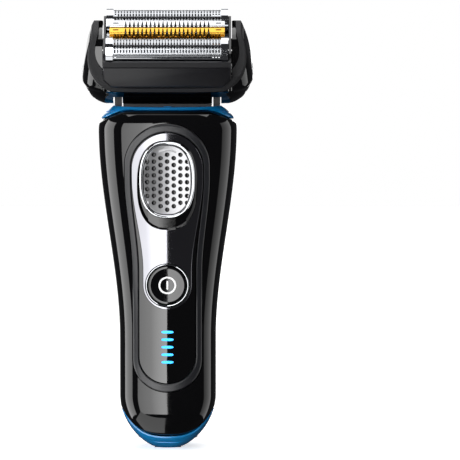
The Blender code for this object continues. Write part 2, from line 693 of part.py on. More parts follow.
def build_power_button():
    """Cap with its stem, bright ring, silicone dome and the switch on the board."""
    face = front_y(BUTTON_Z, -PANEL_PROUD)
    back = face + BUTTON_THICKNESS
    stem_end = back + BUTTON_STEM_LENGTH
    cap = rod_y("power_button", BUTTON_RADIUS, 0, BUTTON_Z, face, back, black_gloss("button_black"), 36)
    join(cap, rod_y("button_stem", BUTTON_STEM_RADIUS, 0, BUTTON_Z, back - MM, stem_end))
    inner = BUTTON_RADIUS + GAP
    outer = inner + BUTTON_RING_WIDTH
    ring = rod_y("power_button_ring", outer, 0, BUTTON_Z, face, back, bright_metal("ring_chrome"), 36)
    cut(ring, rod_y("ring_hole", inner, 0, BUTTON_Z, -REACH, 0, None, 36))
    board_y = board_front_y()
    half = SWITCH_SIZE / 2
    low = (-half, board_y - GAP - SWITCH_HEIGHT, BUTTON_Z - half)
    box("power_switch", low, (half, board_y - GAP, BUTTON_Z + half), bright_metal("switch_can"))
    dome_front = stem_end + GAP
    dome_back = low[1] - GAP
    finish = material("clear_silicone", (0.5, 0.52, 0.55), 0.4)
    rod_y("power_button_dome", BUTTON_STEM_RADIUS, 0, BUTTON_Z, dome_front, dome_back, finish)


def board_front_y():
    return CHASSIS_FRONT_Y - GAP - BOARD_THICKNESS


def build_lock_slide():
    """Dimpled plate and bright rim on a carrier whose stem goes through the track, and the bolt."""
    face = -LOCK_PROUD
    back = face + LOCK_SKIN
    rim_face = face - LOCK_RIM_PROUD
    rim = skin("lock_rim", lock_outline(0), rim_face, back, bright_metal("rim_chrome"))
    cut(rim, prism_y("rim_inside", lock_outline(LOCK_RIM_WIDTH), -REACH, 0))
    skin("lock_plate", lock_outline(LOCK_RIM_WIDTH + GAP), face, back, bright_metal("dimpled_nickel"))
    outline = lock_outline(LOCK_RIM_WIDTH / 3)
    carrier_back = back + GAP + CARRIER_SKIN
    carrier = skin("lock_carrier", outline, back + GAP, carrier_back, black_matte("carrier_black"))
    stem_front = front_y(LOCK_Z, carrier_back - GAP)
    flange_back = BOLT_Y - BOLT_RADIUS - GAP
    flange_front = flange_back - MM
    half_width = LOCK_STEM_HALF_WIDTH
    half_height = LOCK_STEM_HALF_HEIGHT
    low = (-half_width, stem_front, LOCK_Z - half_height)
    join(carrier, box("lock_stem", low, (half_width, flange_back - 0.2 * MM, LOCK_Z + half_height)))
    low = (-2 * half_width, flange_front, LOCK_Z - half_height - MM)
    join(carrier, box("lock_flange", low, (2 * half_width, flange_back, LOCK_Z + half_height + MM)))
    bolt = circle(BOLT_RADIUS, (0, BOLT_Y), 16)
    prism_z("lock_bolt", bolt, LOCK_Z - half_height, COLLAR_TOP_Z - SLIDE_GAP, bright_metal("bolt_steel"))


def build_inner_parts():
    """Chassis, circuit board, cell and its tabs."""
    outer = CHASSIS_HALF_WIDTH
    inner = outer - CHASSIS_WALL
    front = CHASSIS_FRONT_Y
    floor = front + CHASSIS_WALL
    rear = CHASSIS_REAR_Y
    outline = [(-outer, front), (outer, front), (outer, rear), (inner, rear)]
    outline += [(inner, floor), (-inner, floor), (-inner, rear), (-outer, rear)]
    prism_z("chassis", outline, CHASSIS_BOTTOM_Z, CHASSIS_TOP_Z, grey_plastic("chassis_grey"))
    board_y = board_front_y()
    low = (-BOARD_HALF_WIDTH, board_y, BOARD_BOTTOM_Z)
    high = (BOARD_HALF_WIDTH, board_y + BOARD_THICKNESS, BOARD_TOP_Z)
    box("circuit_board", low, high, material("solder_mask", (0.02, 0.2, 0.08), 0.4))
    cell_y = floor + 2 * GAP + CELL_RADIUS
    top = CELL_BOTTOM_Z + CELL_LENGTH
    wrap = material("cell_wrap", (0.05, 0.1, 0.35), 0.35)
    prism_z("battery_cell", circle(CELL_RADIUS, (0, cell_y)), CELL_BOTTOM_Z, top, wrap)
    half = CELL_RADIUS / 2
    low_tab_z = CELL_BOTTOM_Z - GAP - TAB_THICKNESS
    for name, low_z in (("battery_tab_bottom", low_tab_z), ("battery_tab_top", top + GAP)):
        high = (half, cell_y + half, low_z + TAB_THICKNESS)
        box(name, (-half, floor + GAP, low_z), high, bright_metal(name + "_nickel"))


def build_trimmer():
    """The long-hair trimmer: a slide with a comb and a blade behind its cover."""
    half = TRIMMER_HALF_WIDTH
    middle = (TRIMMER_BOTTOM_Z + TRIMMER_TOP_Z) / 2
    outline = oval(half, (TRIMMER_TOP_Z - TRIMMER_BOTTOM_Z) / 2, (0, middle), 7)
    slide = prism_y("trimmer_slide", outline, TRIMMER_FRONT_Y, TRIMMER_REAR_Y, black_matte("slide_black"))
    cover_y = TRIMMER_REAR_Y - TRIMMER_COVER
    cut(slide, box("trimmer_pocket", (-half - MM, 0, TRIMMER_SHOULDER_Z), (half + MM, cover_y, REACH * 3)))
    for i in range(5):
        z = TRIMMER_BOTTOM_Z + (4 + 2.2 * i) * MM
        low = (-half / 2, TRIMMER_REAR_Y - 0.5 * MM, z)
        cut(slide, box("thumb_groove", low, (half / 2, REACH, z + 0.9 * MM)))
    low_z = TRIMMER_SHOULDER_Z + GAP
    top_z = TRIMMER_TOP_Z + 5.5 * MM
    thickness = (cover_y - TRIMMER_FRONT_Y - 3 * GAP) / 2
    comb_y = TRIMMER_FRONT_Y + GAP
    blade_y = comb_y + thickness + GAP
    blade_half = half - 2 * TRIMMER_BLADE_TRAVEL
    for name, front, half_width, top in (
        ("trimmer_comb", comb_y, half - 0.5 * MM, top_z),
        ("trimmer_blade", blade_y, blade_half, top_z - 0.6 * MM),
    ):
        low = (-half_width, front, low_z)
        plate = box(name, low, (half_width, front + thickness - GAP / 2, top), bright_metal(name + "_steel"))
        count = int(2 * (half_width - MM) / TRIMMER_TOOTH_PITCH)
        for i in range(count):
            x = (i - (count - 1) / 2) * TRIMMER_TOOTH_PITCH
            slot_low = (x - 0.35 * MM, 0, top - TRIMMER_TOOTH_DEPTH)
            cut(plate, box("tooth_gap", slot_low, (x + 0.35 * MM, REACH, top + MM)))


def build_neck_collar():
    """The blue top of the handle, with a hollow seat for the head and two ears for its pivot pins."""
    collar = handle_solid("neck_collar", 0, SHOULDER_Z - 10 * MM, COLLAR_TOP_Z, blue_plastic("neck_blue"))
    cut(collar, handle_solid("neck_hollow", SHELL_WALL, SHOULDER_Z - 11 * MM, COLLAR_TOP_Z - SHELL_WALL))
    seam = seam_outline(lambda x: top_seam(x) + GAP, lambda x: COLLAR_TOP_Z + MM)
    keep(collar, prism_y("neck_area", seam, -REACH, REACH))
    low = (-TRIMMER_HALF_WIDTH - SLIDE_GAP, TRIMMER_FRONT_Y - GAP, 0)
    cut(collar, box("neck_channel", low, (TRIMMER_HALF_WIDTH + SLIDE_GAP, REACH, REACH * 3)))
    cut(collar, prism_z("bolt_hole", circle(BOLT_RADIUS + SLIDE_GAP, (0, BOLT_Y), 16), 0, REACH * 3))
    half = LUG_INNER_X - SEAT_SETBACK
    low_z = COLLAR_TOP_Z - MM
    front_top = (half, 0, COLLAR_TOP_Z + SEAT_FRONT_LIFT)
    rear_top = (half, SEAT_HALF_DEPTH, COLLAR_TOP_Z + SEAT_REAR_LIFT)
    join(collar, box("seat_front", (-half, -SEAT_HALF_DEPTH, low_z), front_top))
    join(collar, box("seat_rear", (-half, 0, low_z), rear_top))
    sweep = circle(HEAD_LOW_RADIUS + HEAD_CLEARANCE + SEAT_MARGIN, (0, PIVOT_Z), 60)
    cut(collar, prism_x("drum_sweep", sweep, -half - MM, half + MM))
    for side in (-1, 1):
        inner = side * LUG_INNER_X
        outer = side * (LUG_INNER_X + LUG_THICKNESS)
        ear = circle(LUG_HALF_DEPTH, (0, PIVOT_Z), 13, 0, math.pi)
        ear += [(-LUG_HALF_DEPTH, COLLAR_TOP_Z - MM), (LUG_HALF_DEPTH, COLLAR_TOP_Z - MM)]
        join(collar, prism_x("pivot_ear", ear, min(inner, outer), max(inner, outer)))
    bore = circle(PIVOT_PIN_RADIUS + GAP, (0, PIVOT_Z), 16)
    cut(collar, prism_x("pivot_bore", bore, -REACH, REACH))


def build_pivot_pins():
    for name, side in (("pivot_pin_left", -1), ("pivot_pin_right", 1)):
        inner = side * (LUG_INNER_X - 0.8 * MM)
        outer = inner + side * PIVOT_PIN_LENGTH
        outline = circle(PIVOT_PIN_RADIUS, (0, PIVOT_Z), 16)
        prism_x(name, outline, min(inner, outer), max(inner, outer), bright_metal(name + "_steel"))


# Head form, in the head's own frame: X across, -Y to the front, Z up from the pivot


def head_half_width(height):
    """The head's half width above the pivot, pulled in gently and then faster."""
    share = max(height, 0) / HEAD_TOP
    return HEAD_HALF_WIDTH - HEAD_TAPER * share - HEAD_LATE_TAPER * share**3


def head_solid(name, inset, pivot, finish=None):
    """The head's outer form: a round-ended drum about the pivot under a tall upper part."""
    rings = []
    steps = 9
    for i in range(-steps, steps + 1):
        side = math.copysign(1, i)
        angle = math.radians(84) * abs(i) / steps
        if i == 0:
            x = 0
            radius = HEAD_LOW_RADIUS
        else:
            x = side * (HEAD_HALF_WIDTH - HEAD_END_LENGTH + HEAD_END_LENGTH * math.sin(angle))
            radius = HEAD_LOW_RADIUS * math.cos(angle)
            x -= side * inset
        ring = circle(max(radius - inset, 0.5 * MM), (0, 0), 32)
        rings.append([(x, y, z) for y, z in ring])
    drum = loft(name, rings, finish, pivot)
    levels = [(-HEAD_SKIRT, HEAD_SKIRT_WIDTH_SHARE, HEAD_SKIRT_DEPTH_SHARE), (0, 1, 1)]
    levels += [(HEAD_TOP * i / 5, 1, 1) for i in range(1, 6)]
    upper = []
    for height, width_share, depth_share in levels:
        half_width = head_half_width(height) * width_share - inset
        half_depth = HEAD_HALF_DEPTH * depth_share - inset
        plan = oval(half_width, half_depth, power=HEAD_PLAN_POWER, count=40)
        upper.append([(x, y, height) for x, y in plan])
    join(drum, loft(name + "_upper", upper, None, pivot))
    return drum


def rim_height(y):
    """The edge of the head's open top: a long slope in front and a fuller curve behind."""
    if y < 0:
        share = min(1.0, -y / (HEAD_HALF_DEPTH - RIM_FRONT_MARGIN))
        return RIM_BASE + RIM_RISE * (1 - share * share)
    share = min(1.0, y / (HEAD_HALF_DEPTH - RIM_REAR_MARGIN))
    return RIM_BASE + RIM_RISE * (1 - share**3) ** (1 / 3)


def rim_outline(drop):
    """The area above the rim, seen from the side."""
    steps = [HEAD_HALF_DEPTH * i / 12 for i in range(-12, 13)]
    curve = [(y, rim_height(y) - drop) for y in steps]
    curve = [(-REACH, RIM_BASE - drop)] + curve + [(REACH, RIM_BASE - drop)]
    return curve + [(REACH, REACH), (-REACH, REACH)]


def release_box(name, side, gap, inner_x, pivot):
    low_x = side * inner_x
    high_x = side * REACH
    low = (min(low_x, high_x), -RELEASE_HALF_DEPTH - gap, RELEASE_BOTTOM - gap)
    high = (max(low_x, high_x), RELEASE_HALF_DEPTH + gap, RELEASE_TOP + gap)
    return box(name, low, high, None, pivot)


def lug_sweep(name, side, pivot):
    """The space that a pivot ear sweeps through the head as it tilts."""
    reach = HEAD_HALF_DEPTH + 3 * MM
    half = LUG_HALF_DEPTH + SLIDE_GAP
    lean_low = HEAD_LEAN - TILT_RANGE
    lean_high = HEAD_LEAN + TILT_RANGE
    outline = []
    for lean, edge in ((lean_low, half), (lean_high, -half)):
        along = (-math.sin(lean), -math.cos(lean))
        across = (math.cos(lean), -math.sin(lean))
        near = (across[0] * edge, across[1] * edge)
        far = (near[0] + along[0] * reach, near[1] + along[1] * reach)
        outline.append((near, far))
    (near_a, far_a), (near_b, far_b) = outline
    middle = (-math.sin(HEAD_LEAN) * reach * 1.2, -math.cos(HEAD_LEAN) * reach * 1.2)
    low = side * (LUG_INNER_X - SLIDE_GAP)
    high = side * (LUG_INNER_X + LUG_THICKNESS + SLIDE_GAP)
    return prism_x(name, [near_a, far_a, middle, far_b, near_b], min(low, high), max(low, high), None, pivot)


def build_head_frame(pivot):
    frame = head_solid("head_frame", 0, pivot, black_gloss("head_black"))
    cut(frame, prism_x("frame_rim", rim_outline(BELT_WIDTH + GAP), -REACH, REACH, None, pivot))
    inside = circle(HEAD_LOW_RADIUS - HEAD_WALL, (0, 0), 32)
    cut(frame, prism_x("frame_drum", inside, -SHELL_HALF_LENGTH, SHELL_HALF_LENGTH, None, pivot))
    floor = RIM_BASE - BELT_WIDTH - GAP - 0.1 * MM
    low = (-WELL_HALF_WIDTH, -REACH, floor)
    cut(frame, box("cassette_well", low, (WELL_HALF_WIDTH, REACH, REACH), None, pivot))
    for side in (-1, 1):
        cut(frame, lug_sweep("ear_slot", side, pivot))
        pocket_x = RELEASE_INNER_X - RELEASE_TRAVEL - 2 * GAP
        cut(frame, release_box("release_pocket", side, GAP, pocket_x, pivot))
    bore = circle(PIVOT_PIN_RADIUS + GAP, (0, 0), 16)
    reach = LUG_INNER_X + PIVOT_PIN_LENGTH
    cut(frame, prism_x("frame_bore", bore, -reach, reach, None, pivot))


def build_head_belt(pivot):
    """The matte band that runs round the rim of the head's open top."""
    belt = head_solid("head_belt", 0, pivot, grey_plastic("belt_grey"))
    cut(belt, prism_x("belt_above", rim_outline(0), -REACH, REACH, None, pivot))
    below = [(y, z) for y, z in rim_outline(BELT_WIDTH) if z < REACH / 2]
    below += [(REACH, -REACH), (-REACH, -REACH)]
    cut(belt, prism_x("belt_below", below, -REACH, REACH, None, pivot))
    cut(belt, head_solid("belt_inside", BELT_THICKNESS, pivot))
    low = (-SHELL_HALF_LENGTH, -DECK_HALF_DEPTH - GAP, -REACH)
    cut(belt, box("belt_deck_room", low, (SHELL_HALF_LENGTH, DECK_HALF_DEPTH + GAP, REACH), None, pivot))
    cut(belt, prism_y("belt_cassette_room", cassette_outline(GAP, REACH), -REACH, REACH, None, pivot))


def build_head_deck(pivot):
    """The lid over the motor, with an oblong hole for each drive pin."""
    low_z = RIM_BASE - BELT_WIDTH
    low = (-DECK_HALF_WIDTH, -DECK_HALF_DEPTH, low_z)
    high = (DECK_HALF_WIDTH, DECK_HALF_DEPTH, DECK_TOP)
    deck = box("head_deck", low, high, black_matte("deck_black"), pivot)
    width = DECK_HALF_WIDTH - DECK_WALL
    depth = DECK_HALF_DEPTH - DECK_WALL
    high = (width, depth, DECK_TOP - DECK_WALL)
    cut(deck, box("deck_inside", (-width, -depth, -REACH), high, None, pivot))
    notch = PIVOT_PIN_RADIUS + 2 * GAP
    cut(deck, box("deck_pin_notch", (-REACH, -notch, -REACH), (REACH, notch, notch), None, pivot))
    for side in (-1, 1):
        half_width = DRIVE_PIN_RADIUS + DRIVE_TRAVEL + SLIDE_GAP + 0.8 * MM
        half_depth = 2.9 * MM
        outline = oval(half_width, half_depth, (0, side * DRIVE_OFFSET), 3, 20)
        cut(deck, prism_z("pin_hole", outline, 0, REACH, None, pivot))


def build_motor(pivot):
    """The tray of the linear motor and the coil in it."""
    outline = [(y, z) for y, z in circle(MOTOR_RADIUS, (0, 0), 33, math.pi, math.pi)]
    outline += [(MOTOR_RADIUS, MOTOR_TOP), (-MOTOR_RADIUS, MOTOR_TOP)]
    tray = prism_x("motor_tray", outline, -MOTOR_HALF_WIDTH, MOTOR_HALF_WIDTH, grey_plastic("tray"), pivot)
    wall = MOTOR_WALL
    room = [(y, z) for y, z in circle(MOTOR_RADIUS - wall, (0, 0), 25, math.pi, math.pi)]
    room += [(MOTOR_RADIUS - wall, REACH), (wall - MOTOR_RADIUS, REACH)]
    half = MOTOR_HALF_WIDTH - wall
    cut(tray, prism_x("tray_room", room, -half, half, None, pivot))
    half -= 2 * MM
    coil = oval(6 * MM, 4 * MM, (0, -3.5 * MM), 3, 24)
    prism_x("motor_coil", coil, -half, half, material("copper", (0.7, 0.3, 0.14), 0.35, 1.0), pivot)


def coil_spring(name, centre, radius, wire, low, high, along_x, finish, pivot):
    """A coil spring of round wire, built along its own axis from low to high."""
    turns = 4
    steps = 8 * turns
    rings = []
    for i in range(steps + 1):
        angle = 2 * math.pi * turns * i / steps
        height = low + wire + (high - low - 2 * wire) * i / steps
        ring = []
        for j in range(5):
            around = 2 * math.pi * j / 5
            out = radius + wire * math.cos(around)
            point = (out * math.cos(angle), out * math.sin(angle), height + wire * math.sin(around))
            if along_x:
                ring.append((point[2], centre[0] + point[0], centre[1] + point[1]))
            else:
                ring.append((centre[0] + point[0], centre[1] + point[1], point[2]))
        rings.append(ring)
    return loft(name, rings, finish, pivot)


def build_drives(pivot):
    """Two bridges that swing opposite ways, each with its drive pin and spring."""
    for name, side in (("front", -1), ("rear", 1)):
        y = side * DRIVE_OFFSET
        low = (-BRIDGE_HALF_WIDTH, y - BRIDGE_HALF_DEPTH, BRIDGE_TOP - BRIDGE_THICKNESS)
        high = (BRIDGE_HALF_WIDTH, y + BRIDGE_HALF_DEPTH, BRIDGE_TOP)
        white = material(name + "_bridge_white", (0.75, 0.75, 0.72), 0.4)
        bridge = box(name + "_drive_bridge", low, high, white, pivot)
        pin = circle(DRIVE_PIN_RADIUS, (0, y), 16)
        join(bridge, prism_z(name + "_pin", pin, BRIDGE_TOP - 0.5 * MM, DRIVE_PIN_TOP, None, pivot))
        low_z = DECK_TOP + GAP
        high_z = CUTTER_BOSS_BOTTOM - GAP
        steel = bright_metal(name + "_spring_steel")
        radius = DRIVE_PIN_RADIUS + 0.8 * MM
        coil_spring(name + "_cutter_spring", (0, y), radius, 0.25 * MM, low_z, high_z, False, steel, pivot)


def build_release_buttons(pivot):
    for name, side in (("left", -1), ("right", 1)):
        button = head_solid("release_button_" + name, 0, pivot, black_gloss("release_" + name))
        keep(button, release_box("release_area_" + name, side, 0, RELEASE_INNER_X, pivot))
        near = side * (RELEASE_INNER_X - RELEASE_TRAVEL - GAP)
        far = side * (RELEASE_INNER_X - GAP)
        steel = bright_metal("release_spring_steel_" + name)
        centre = (0, (RELEASE_BOTTOM + RELEASE_TOP) / 2 - 2 * MM)
        low = min(near, far)
        high = max(near, far)
        coil_spring("release_spring_" + name, centre, 1.6 * MM, 0.15 * MM, low, high, True, steel, pivot)


# Cassette


def cassette_outline(gap, top):
    """The cassette's front view up to a height: its lower corners are chamfered."""
    width = CASSETTE_HALF_WIDTH + gap
    low = CASSETTE_BOTTOM - gap
    foot = CASSETTE_HALF_WIDTH - CASSETTE_CHAMFER
    high = low + width - foot
    return [(-width, high), (-foot, low), (foot, low), (width, high), (width, top), (-width, top)]


def build_cassette_frame(pivot):
    """A thin-walled box without top or bottom, with end walls beside the foils."""
    width = CASSETTE_HALF_WIDTH
    depth = CASSETTE_HALF_DEPTH
    outline = cassette_outline(0, END_WALL_TOP)
    frame = prism_y("cassette_frame", outline, -depth, depth, black_matte("cassette_black"), pivot)
    inner_width = width - CASSETTE_WALL
    inner_depth = depth - CASSETTE_WALL
    low = (-inner_width, -inner_depth, 0)
    cut(frame, box("cassette_inside", low, (inner_width, inner_depth, REACH), None, pivot))
    for side in (-1, 1):
        near = side * END_WALL_HALF_DEPTH
        far = side * REACH
        low_corner = (-REACH, min(near, far), CASSETTE_TOP)
        cut(frame, box("wall_notch", low_corner, (REACH, max(near, far), REACH), None, pivot))


def build_foil(name, side, pivot):
    """One foil over its lamella cutter, held in a bright frame with a clip at each end."""
    y = side * DRIVE_OFFSET
    axis = FOIL_AXIS
    outer = FOIL_RADIUS
    inner = outer - FOIL_THICKNESS
    arch = circle(outer, (y, axis), 17, 0, math.pi)
    arch += reversed(circle(inner, (y, axis), 17, 0, math.pi))
    half = FOIL_HALF_LENGTH - CLIP_THICKNESS - GAP
    prism_x(name + "_foil", arch, -half, half, bright_metal(name + "_foil_steel"), pivot)
    clip_inner = outer + GAP
    clip_outer = CLIP_RADIUS
    low = (-FOIL_HALF_LENGTH, y - FOIL_FRAME_HALF_DEPTH, axis - GAP - FOIL_FRAME_HEIGHT)
    high = (FOIL_HALF_LENGTH, y + FOIL_FRAME_HALF_DEPTH, axis - GAP)
    frame = box(name + "_foil_frame", low, high, bright_metal(name + "_frame_chrome"), pivot)
    arch = circle(clip_outer, (y, axis), 17, 0, math.pi)
    arch += [(y - clip_outer, axis - MM), (y + clip_outer, axis - MM)]
    arch_room = circle(clip_inner, (y, axis), 17, 0, math.pi)
    arch_room += [(y - clip_inner, axis - GAP), (y + clip_inner, axis - GAP)]
    for end in (-1, 1):
        far = end * FOIL_HALF_LENGTH
        near = end * (FOIL_HALF_LENGTH - CLIP_LENGTH)
        join(frame, prism_x("clip", arch, min(near, far), max(near, far), None, pivot))
        far = end * (FOIL_HALF_LENGTH - CLIP_THICKNESS)
        near = end * (FOIL_HALF_LENGTH - CLIP_LENGTH - MM)
        cut(frame, prism_x("clip_room", arch_room, min(near, far), max(near, far), None, pivot))
    hole_width = FOIL_HALF_LENGTH - 2 * MM
    hole_depth = FOIL_FRAME_HALF_DEPTH - FOIL_FRAME_WALL
    low = (-hole_width, y - hole_depth, 0)
    cut(frame, box("frame_hole", low, (hole_width, y + hole_depth, axis), None, pivot))
    build_cutter_block(name, y, pivot)


def build_cutter_block(name, y, pivot):
    """A row of round-topped lamellae on a common bar, with a socket for the drive pin."""
    count = int(2 * CUTTER_HALF_LENGTH / CUTTER_FIN_PITCH)
    start = -count * CUTTER_FIN_PITCH / 2
    step = 0.15 * MM
    fin = CUTTER_FIN_PITCH * 0.45
    stations = []
    for i in range(count):
        x = start + i * CUTTER_FIN_PITCH
        stations += [(x, CUTTER_RADIUS), (x + fin, CUTTER_RADIUS)]
        if i < count - 1:
            groove = CUTTER_RADIUS - CUTTER_GROOVE
            stations += [(x + fin + step, groove), (x + CUTTER_FIN_PITCH - step, groove)]
    rings = []
    for x, radius in stations:
        outline = circle(radius, (y, FOIL_AXIS), 9, 0, math.pi)
        outline += [(y - 2.4 * MM, FOIL_AXIS - 2 * MM), (y + 2.4 * MM, FOIL_AXIS - 2 * MM)]
        rings.append([(x, across, up) for across, up in outline])
    block = loft(name + "_cutter_block", rings, bright_metal(name + "_cutter_steel"), pivot)
    boss = circle(CUTTER_BOSS_RADIUS, (0, y), 16)
    join(block, prism_z("cutter_boss", boss, CUTTER_BOSS_BOTTOM, FOIL_AXIS - MM, None, pivot))
    socket = circle(DRIVE_PIN_RADIUS + GAP, (0, y), 16)
    cut(block, prism_z("pin_socket", socket, 0, CUTTER_SOCKET_TOP, None, pivot))


def build_middle_trimmer(name, side, finish, pivot):
    """An upturned channel with a row of slots, and the toothed blade that slides inside it."""
    y = side * GUARD_OFFSET
    half = GUARD_HALF_WIDTH
    low = (-GUARD_HALF_LENGTH, y - half, GUARD_BOTTOM)
    guard = box(name + "_trimmer_guard", low, (GUARD_HALF_LENGTH, y + half, GUARD_TOP), finish, pivot)
    inner = half - GUARD_WALL
    ceiling = GUARD_TOP - GUARD_WALL
    end = GUARD_HALF_LENGTH - GUARD_WALL
    cut(guard, box("guard_room", (-end, y - inner, 0), (end, y + inner, ceiling), None, pivot))
    count = int(2 * BLADE_HALF_LENGTH * 0.85 / GUARD_SLOT_PITCH)
    blade_half = inner - GAP
    low = (-BLADE_HALF_LENGTH, y - blade_half, GUARD_BOTTOM + MM)
    high = (BLADE_HALF_LENGTH, y + blade_half, ceiling - GAP)
    blade = box(name + "_trimmer_blade", low, high, bright_metal(name + "_blade_steel"), pivot)
    for i in range(count):
        x = (i - (count - 1) / 2) * GUARD_SLOT_PITCH
        slot = GUARD_SLOT_WIDTH / 2
        low = (x - slot, y - REACH, GUARD_TOP - 1.2 * MM)
        room = box("guard_slot", low, (x + slot, y + half / 3, REACH), None, pivot)
        cut(guard, room)
        low = (x - slot, y - REACH, ceiling - 1.6 * MM)
        cut(blade, box("blade_slot", low, (x + slot, y + REACH, REACH), None, pivot))


def main():
    for old in list(bpy.data.objects):
        bpy.data.objects.remove(old)
    build_shells()
    build_base_cap()
    build_base_screws()
    build_charging_socket()
    build_rear_contacts()
    build_rear_grip()
    build_front_panel()
    build_light_guide()
    build_power_button()
    build_lock_slide()
    build_inner_parts()
    build_trimmer()
    build_neck_collar()
    build_pivot_pins()
    pivot = bpy.data.objects.new("head_pivot", None)
    bpy.context.scene.collection.objects.link(pivot)
    pivot.location = (0, 0, PIVOT_Z)
    pivot.rotation_euler = (HEAD_LEAN, 0, 0)
    build_head_frame(pivot)
    build_head_belt(pivot)
    build_head_deck(pivot)
    build_motor(pivot)
    build_drives(pivot)
    build_release_buttons(pivot)
    build_cassette_frame(pivot)
    build_foil("front", -1, pivot)
    build_foil("rear", 1, pivot)
    build_middle_trimmer("gold", -1, gold_metal("gold_plate"), pivot)
    build_middle_trimmer("silver", 1, bright_metal("silver_plate"), pivot)


main()
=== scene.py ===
import math

import bmesh
import bpy
from mathutils import Matrix, Vector


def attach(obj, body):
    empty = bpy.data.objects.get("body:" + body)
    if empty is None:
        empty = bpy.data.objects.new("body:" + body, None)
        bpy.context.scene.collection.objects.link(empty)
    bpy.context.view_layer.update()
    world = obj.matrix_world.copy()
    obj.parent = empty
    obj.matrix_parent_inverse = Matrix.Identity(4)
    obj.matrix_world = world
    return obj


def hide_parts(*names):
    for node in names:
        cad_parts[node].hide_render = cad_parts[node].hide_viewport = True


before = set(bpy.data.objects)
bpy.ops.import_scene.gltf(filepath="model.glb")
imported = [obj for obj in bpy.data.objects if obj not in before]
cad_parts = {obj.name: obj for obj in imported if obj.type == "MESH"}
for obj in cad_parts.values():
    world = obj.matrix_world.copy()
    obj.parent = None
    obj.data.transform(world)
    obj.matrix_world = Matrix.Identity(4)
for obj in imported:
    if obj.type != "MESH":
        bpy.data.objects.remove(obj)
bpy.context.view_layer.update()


# Front shell
# The front half of the casing is one ABS moulding, polished in the tool to a piano black.
# It has a window for the panel and meets the blue parts in two chamfered seams.

MM = 0.001
GAP = 0.3 * MM
WALL = 2.0 * MM
SKIN_POWER = 2.7
ROUNDNESS = 2 / SKIN_POWER
PARTING_Y = 2.0 * MM
BASE_CHAMFER = 1.2 * MM
TOP_CHAMFER = 1.3 * MM
CHAMFER_DEPTH = 0.9 * MM
EDGE_ROUNDING = 0.25 * MM
FOOT_DROP = 1.2 * MM
FOOT_RISE = 21.2 * MM
FOOT_POWER = 1.8
WAIST_Z = 42 * MM
SHOULDER_Z = 121 * MM
SHOULDER_RISE = 79 * MM
NECK_RISE = 14 * MM
# Half width, front depth and rear depth, each at the waist and at the shoulder.
HANDLE_SIZES = ((18.3, 26.2), (14.5, 17.5), (14.5, 16.0))
BASE_SEAM = (4.9, 11.5)
BASE_SEAM_REACH = 18.3 * MM
TOP_SEAM = (128.6, -4.8)
TOP_SEAM_FLAT = 15 * MM
TOP_SEAM_REACH = 11.2 * MM
PANEL_NECK_Z = 68
PANEL_FLARE = 36
REACH = 60 * MM


def linear(code):
    """An sRGB hex colour as the linear values that a shader takes."""
    parts = [int(code[i:i + 2], 16) / 255 for i in (1, 3, 5)]
    return [c / 12.92 if c <= 0.04045 else ((c + 0.055) / 1.055) ** 2.4 for c in parts] + [1]


def add(tree, kind, settings=None, inputs=None):
    """One node with its settings, its values and its links."""
    made = tree.nodes.new(kind)
    for name, value in (settings or {}).items():
        setattr(made, name, value)
    for name, value in (inputs or {}).items():
        if isinstance(value, bpy.types.NodeSocket):
            tree.links.new(value, made.inputs[name])
        else:
            made.inputs[name].default_value = value
    return made


def finish(name, colours, rough, patch, grain=None, relief=0.0, stretch=(1, 1, 1), **sockets):
    """A surface whose colour and gloss drift over patches, with a fine grain in relief.

    Patch and grain are real sizes in metres, and relief is the grain's height.
    """
    made = bpy.data.materials.new(name)
    made.use_nodes = True
    tree = made.node_tree
    shader = tree.nodes["Principled BSDF"]
    for socket, value in sockets.items():
        shader.inputs[socket.replace("_", " ")].default_value = value
    place = add(tree, "ShaderNodeTexCoord")
    patches = add(tree, "ShaderNodeTexNoise", {}, {
        "Vector": place.outputs["Object"], "Scale": 1 / patch, "Detail": 3.0,
    })
    drift = patches.outputs["Fac"]
    if grain:
        turned = add(tree, "ShaderNodeMapping", {}, {
            "Vector": place.outputs["Object"], "Scale": stretch,
        })
        fine = add(tree, "ShaderNodeTexNoise", {}, {
            "Vector": turned.outputs["Vector"], "Scale": 1 / grain, "Detail": 2.0,
        })
        bump = add(tree, "ShaderNodeBump", {}, {
            "Height": fine.outputs["Fac"], "Distance": relief, "Strength": 1.0,
        })
        tree.links.new(bump.outputs["Normal"], shader.inputs["Normal"])
        both = add(tree, "ShaderNodeMath", {"operation": "ADD"}, {
            0: drift, 1: fine.outputs["Fac"],
        })
        half = add(tree, "ShaderNodeMath", {"operation": "MULTIPLY"}, {
            0: both.outputs["Value"], 1: 0.5,
        })
        drift = half.outputs["Value"]
    ramp = add(tree, "ShaderNodeValToRGB", {}, {"Fac": drift})
    for element, position, colour in zip(ramp.color_ramp.elements, (0.3, 0.7), colours):
        element.position = position
        element.color = linear(colour)
    tree.links.new(ramp.outputs["Color"], shader.inputs["Base Color"])
    gloss = add(tree, "ShaderNodeMapRange", {}, {
        "Value": drift, "From Min": 0.3, "From Max": 0.7, "To Min": rough[0], "To Max": rough[1],
    })
    tree.links.new(gloss.outputs["Result"], shader.inputs["Roughness"])
    return made


def smooth(piece, angle=32):
    """Weld the mesh, face it outwards and keep only its real edges sharp."""
    mesh = bmesh.new()
    mesh.from_mesh(piece.data)
    bmesh.ops.remove_doubles(mesh, verts=mesh.verts, dist=0.002 * MM)
    bmesh.ops.dissolve_degenerate(mesh, edges=mesh.edges, dist=0.001 * MM)
    bmesh.ops.recalc_face_normals(mesh, faces=mesh.faces)
    mesh.to_mesh(piece.data)
    mesh.free()
    piece.data.shade_smooth()
    piece.data.set_sharp_from_angle(angle=math.radians(angle))
    return piece


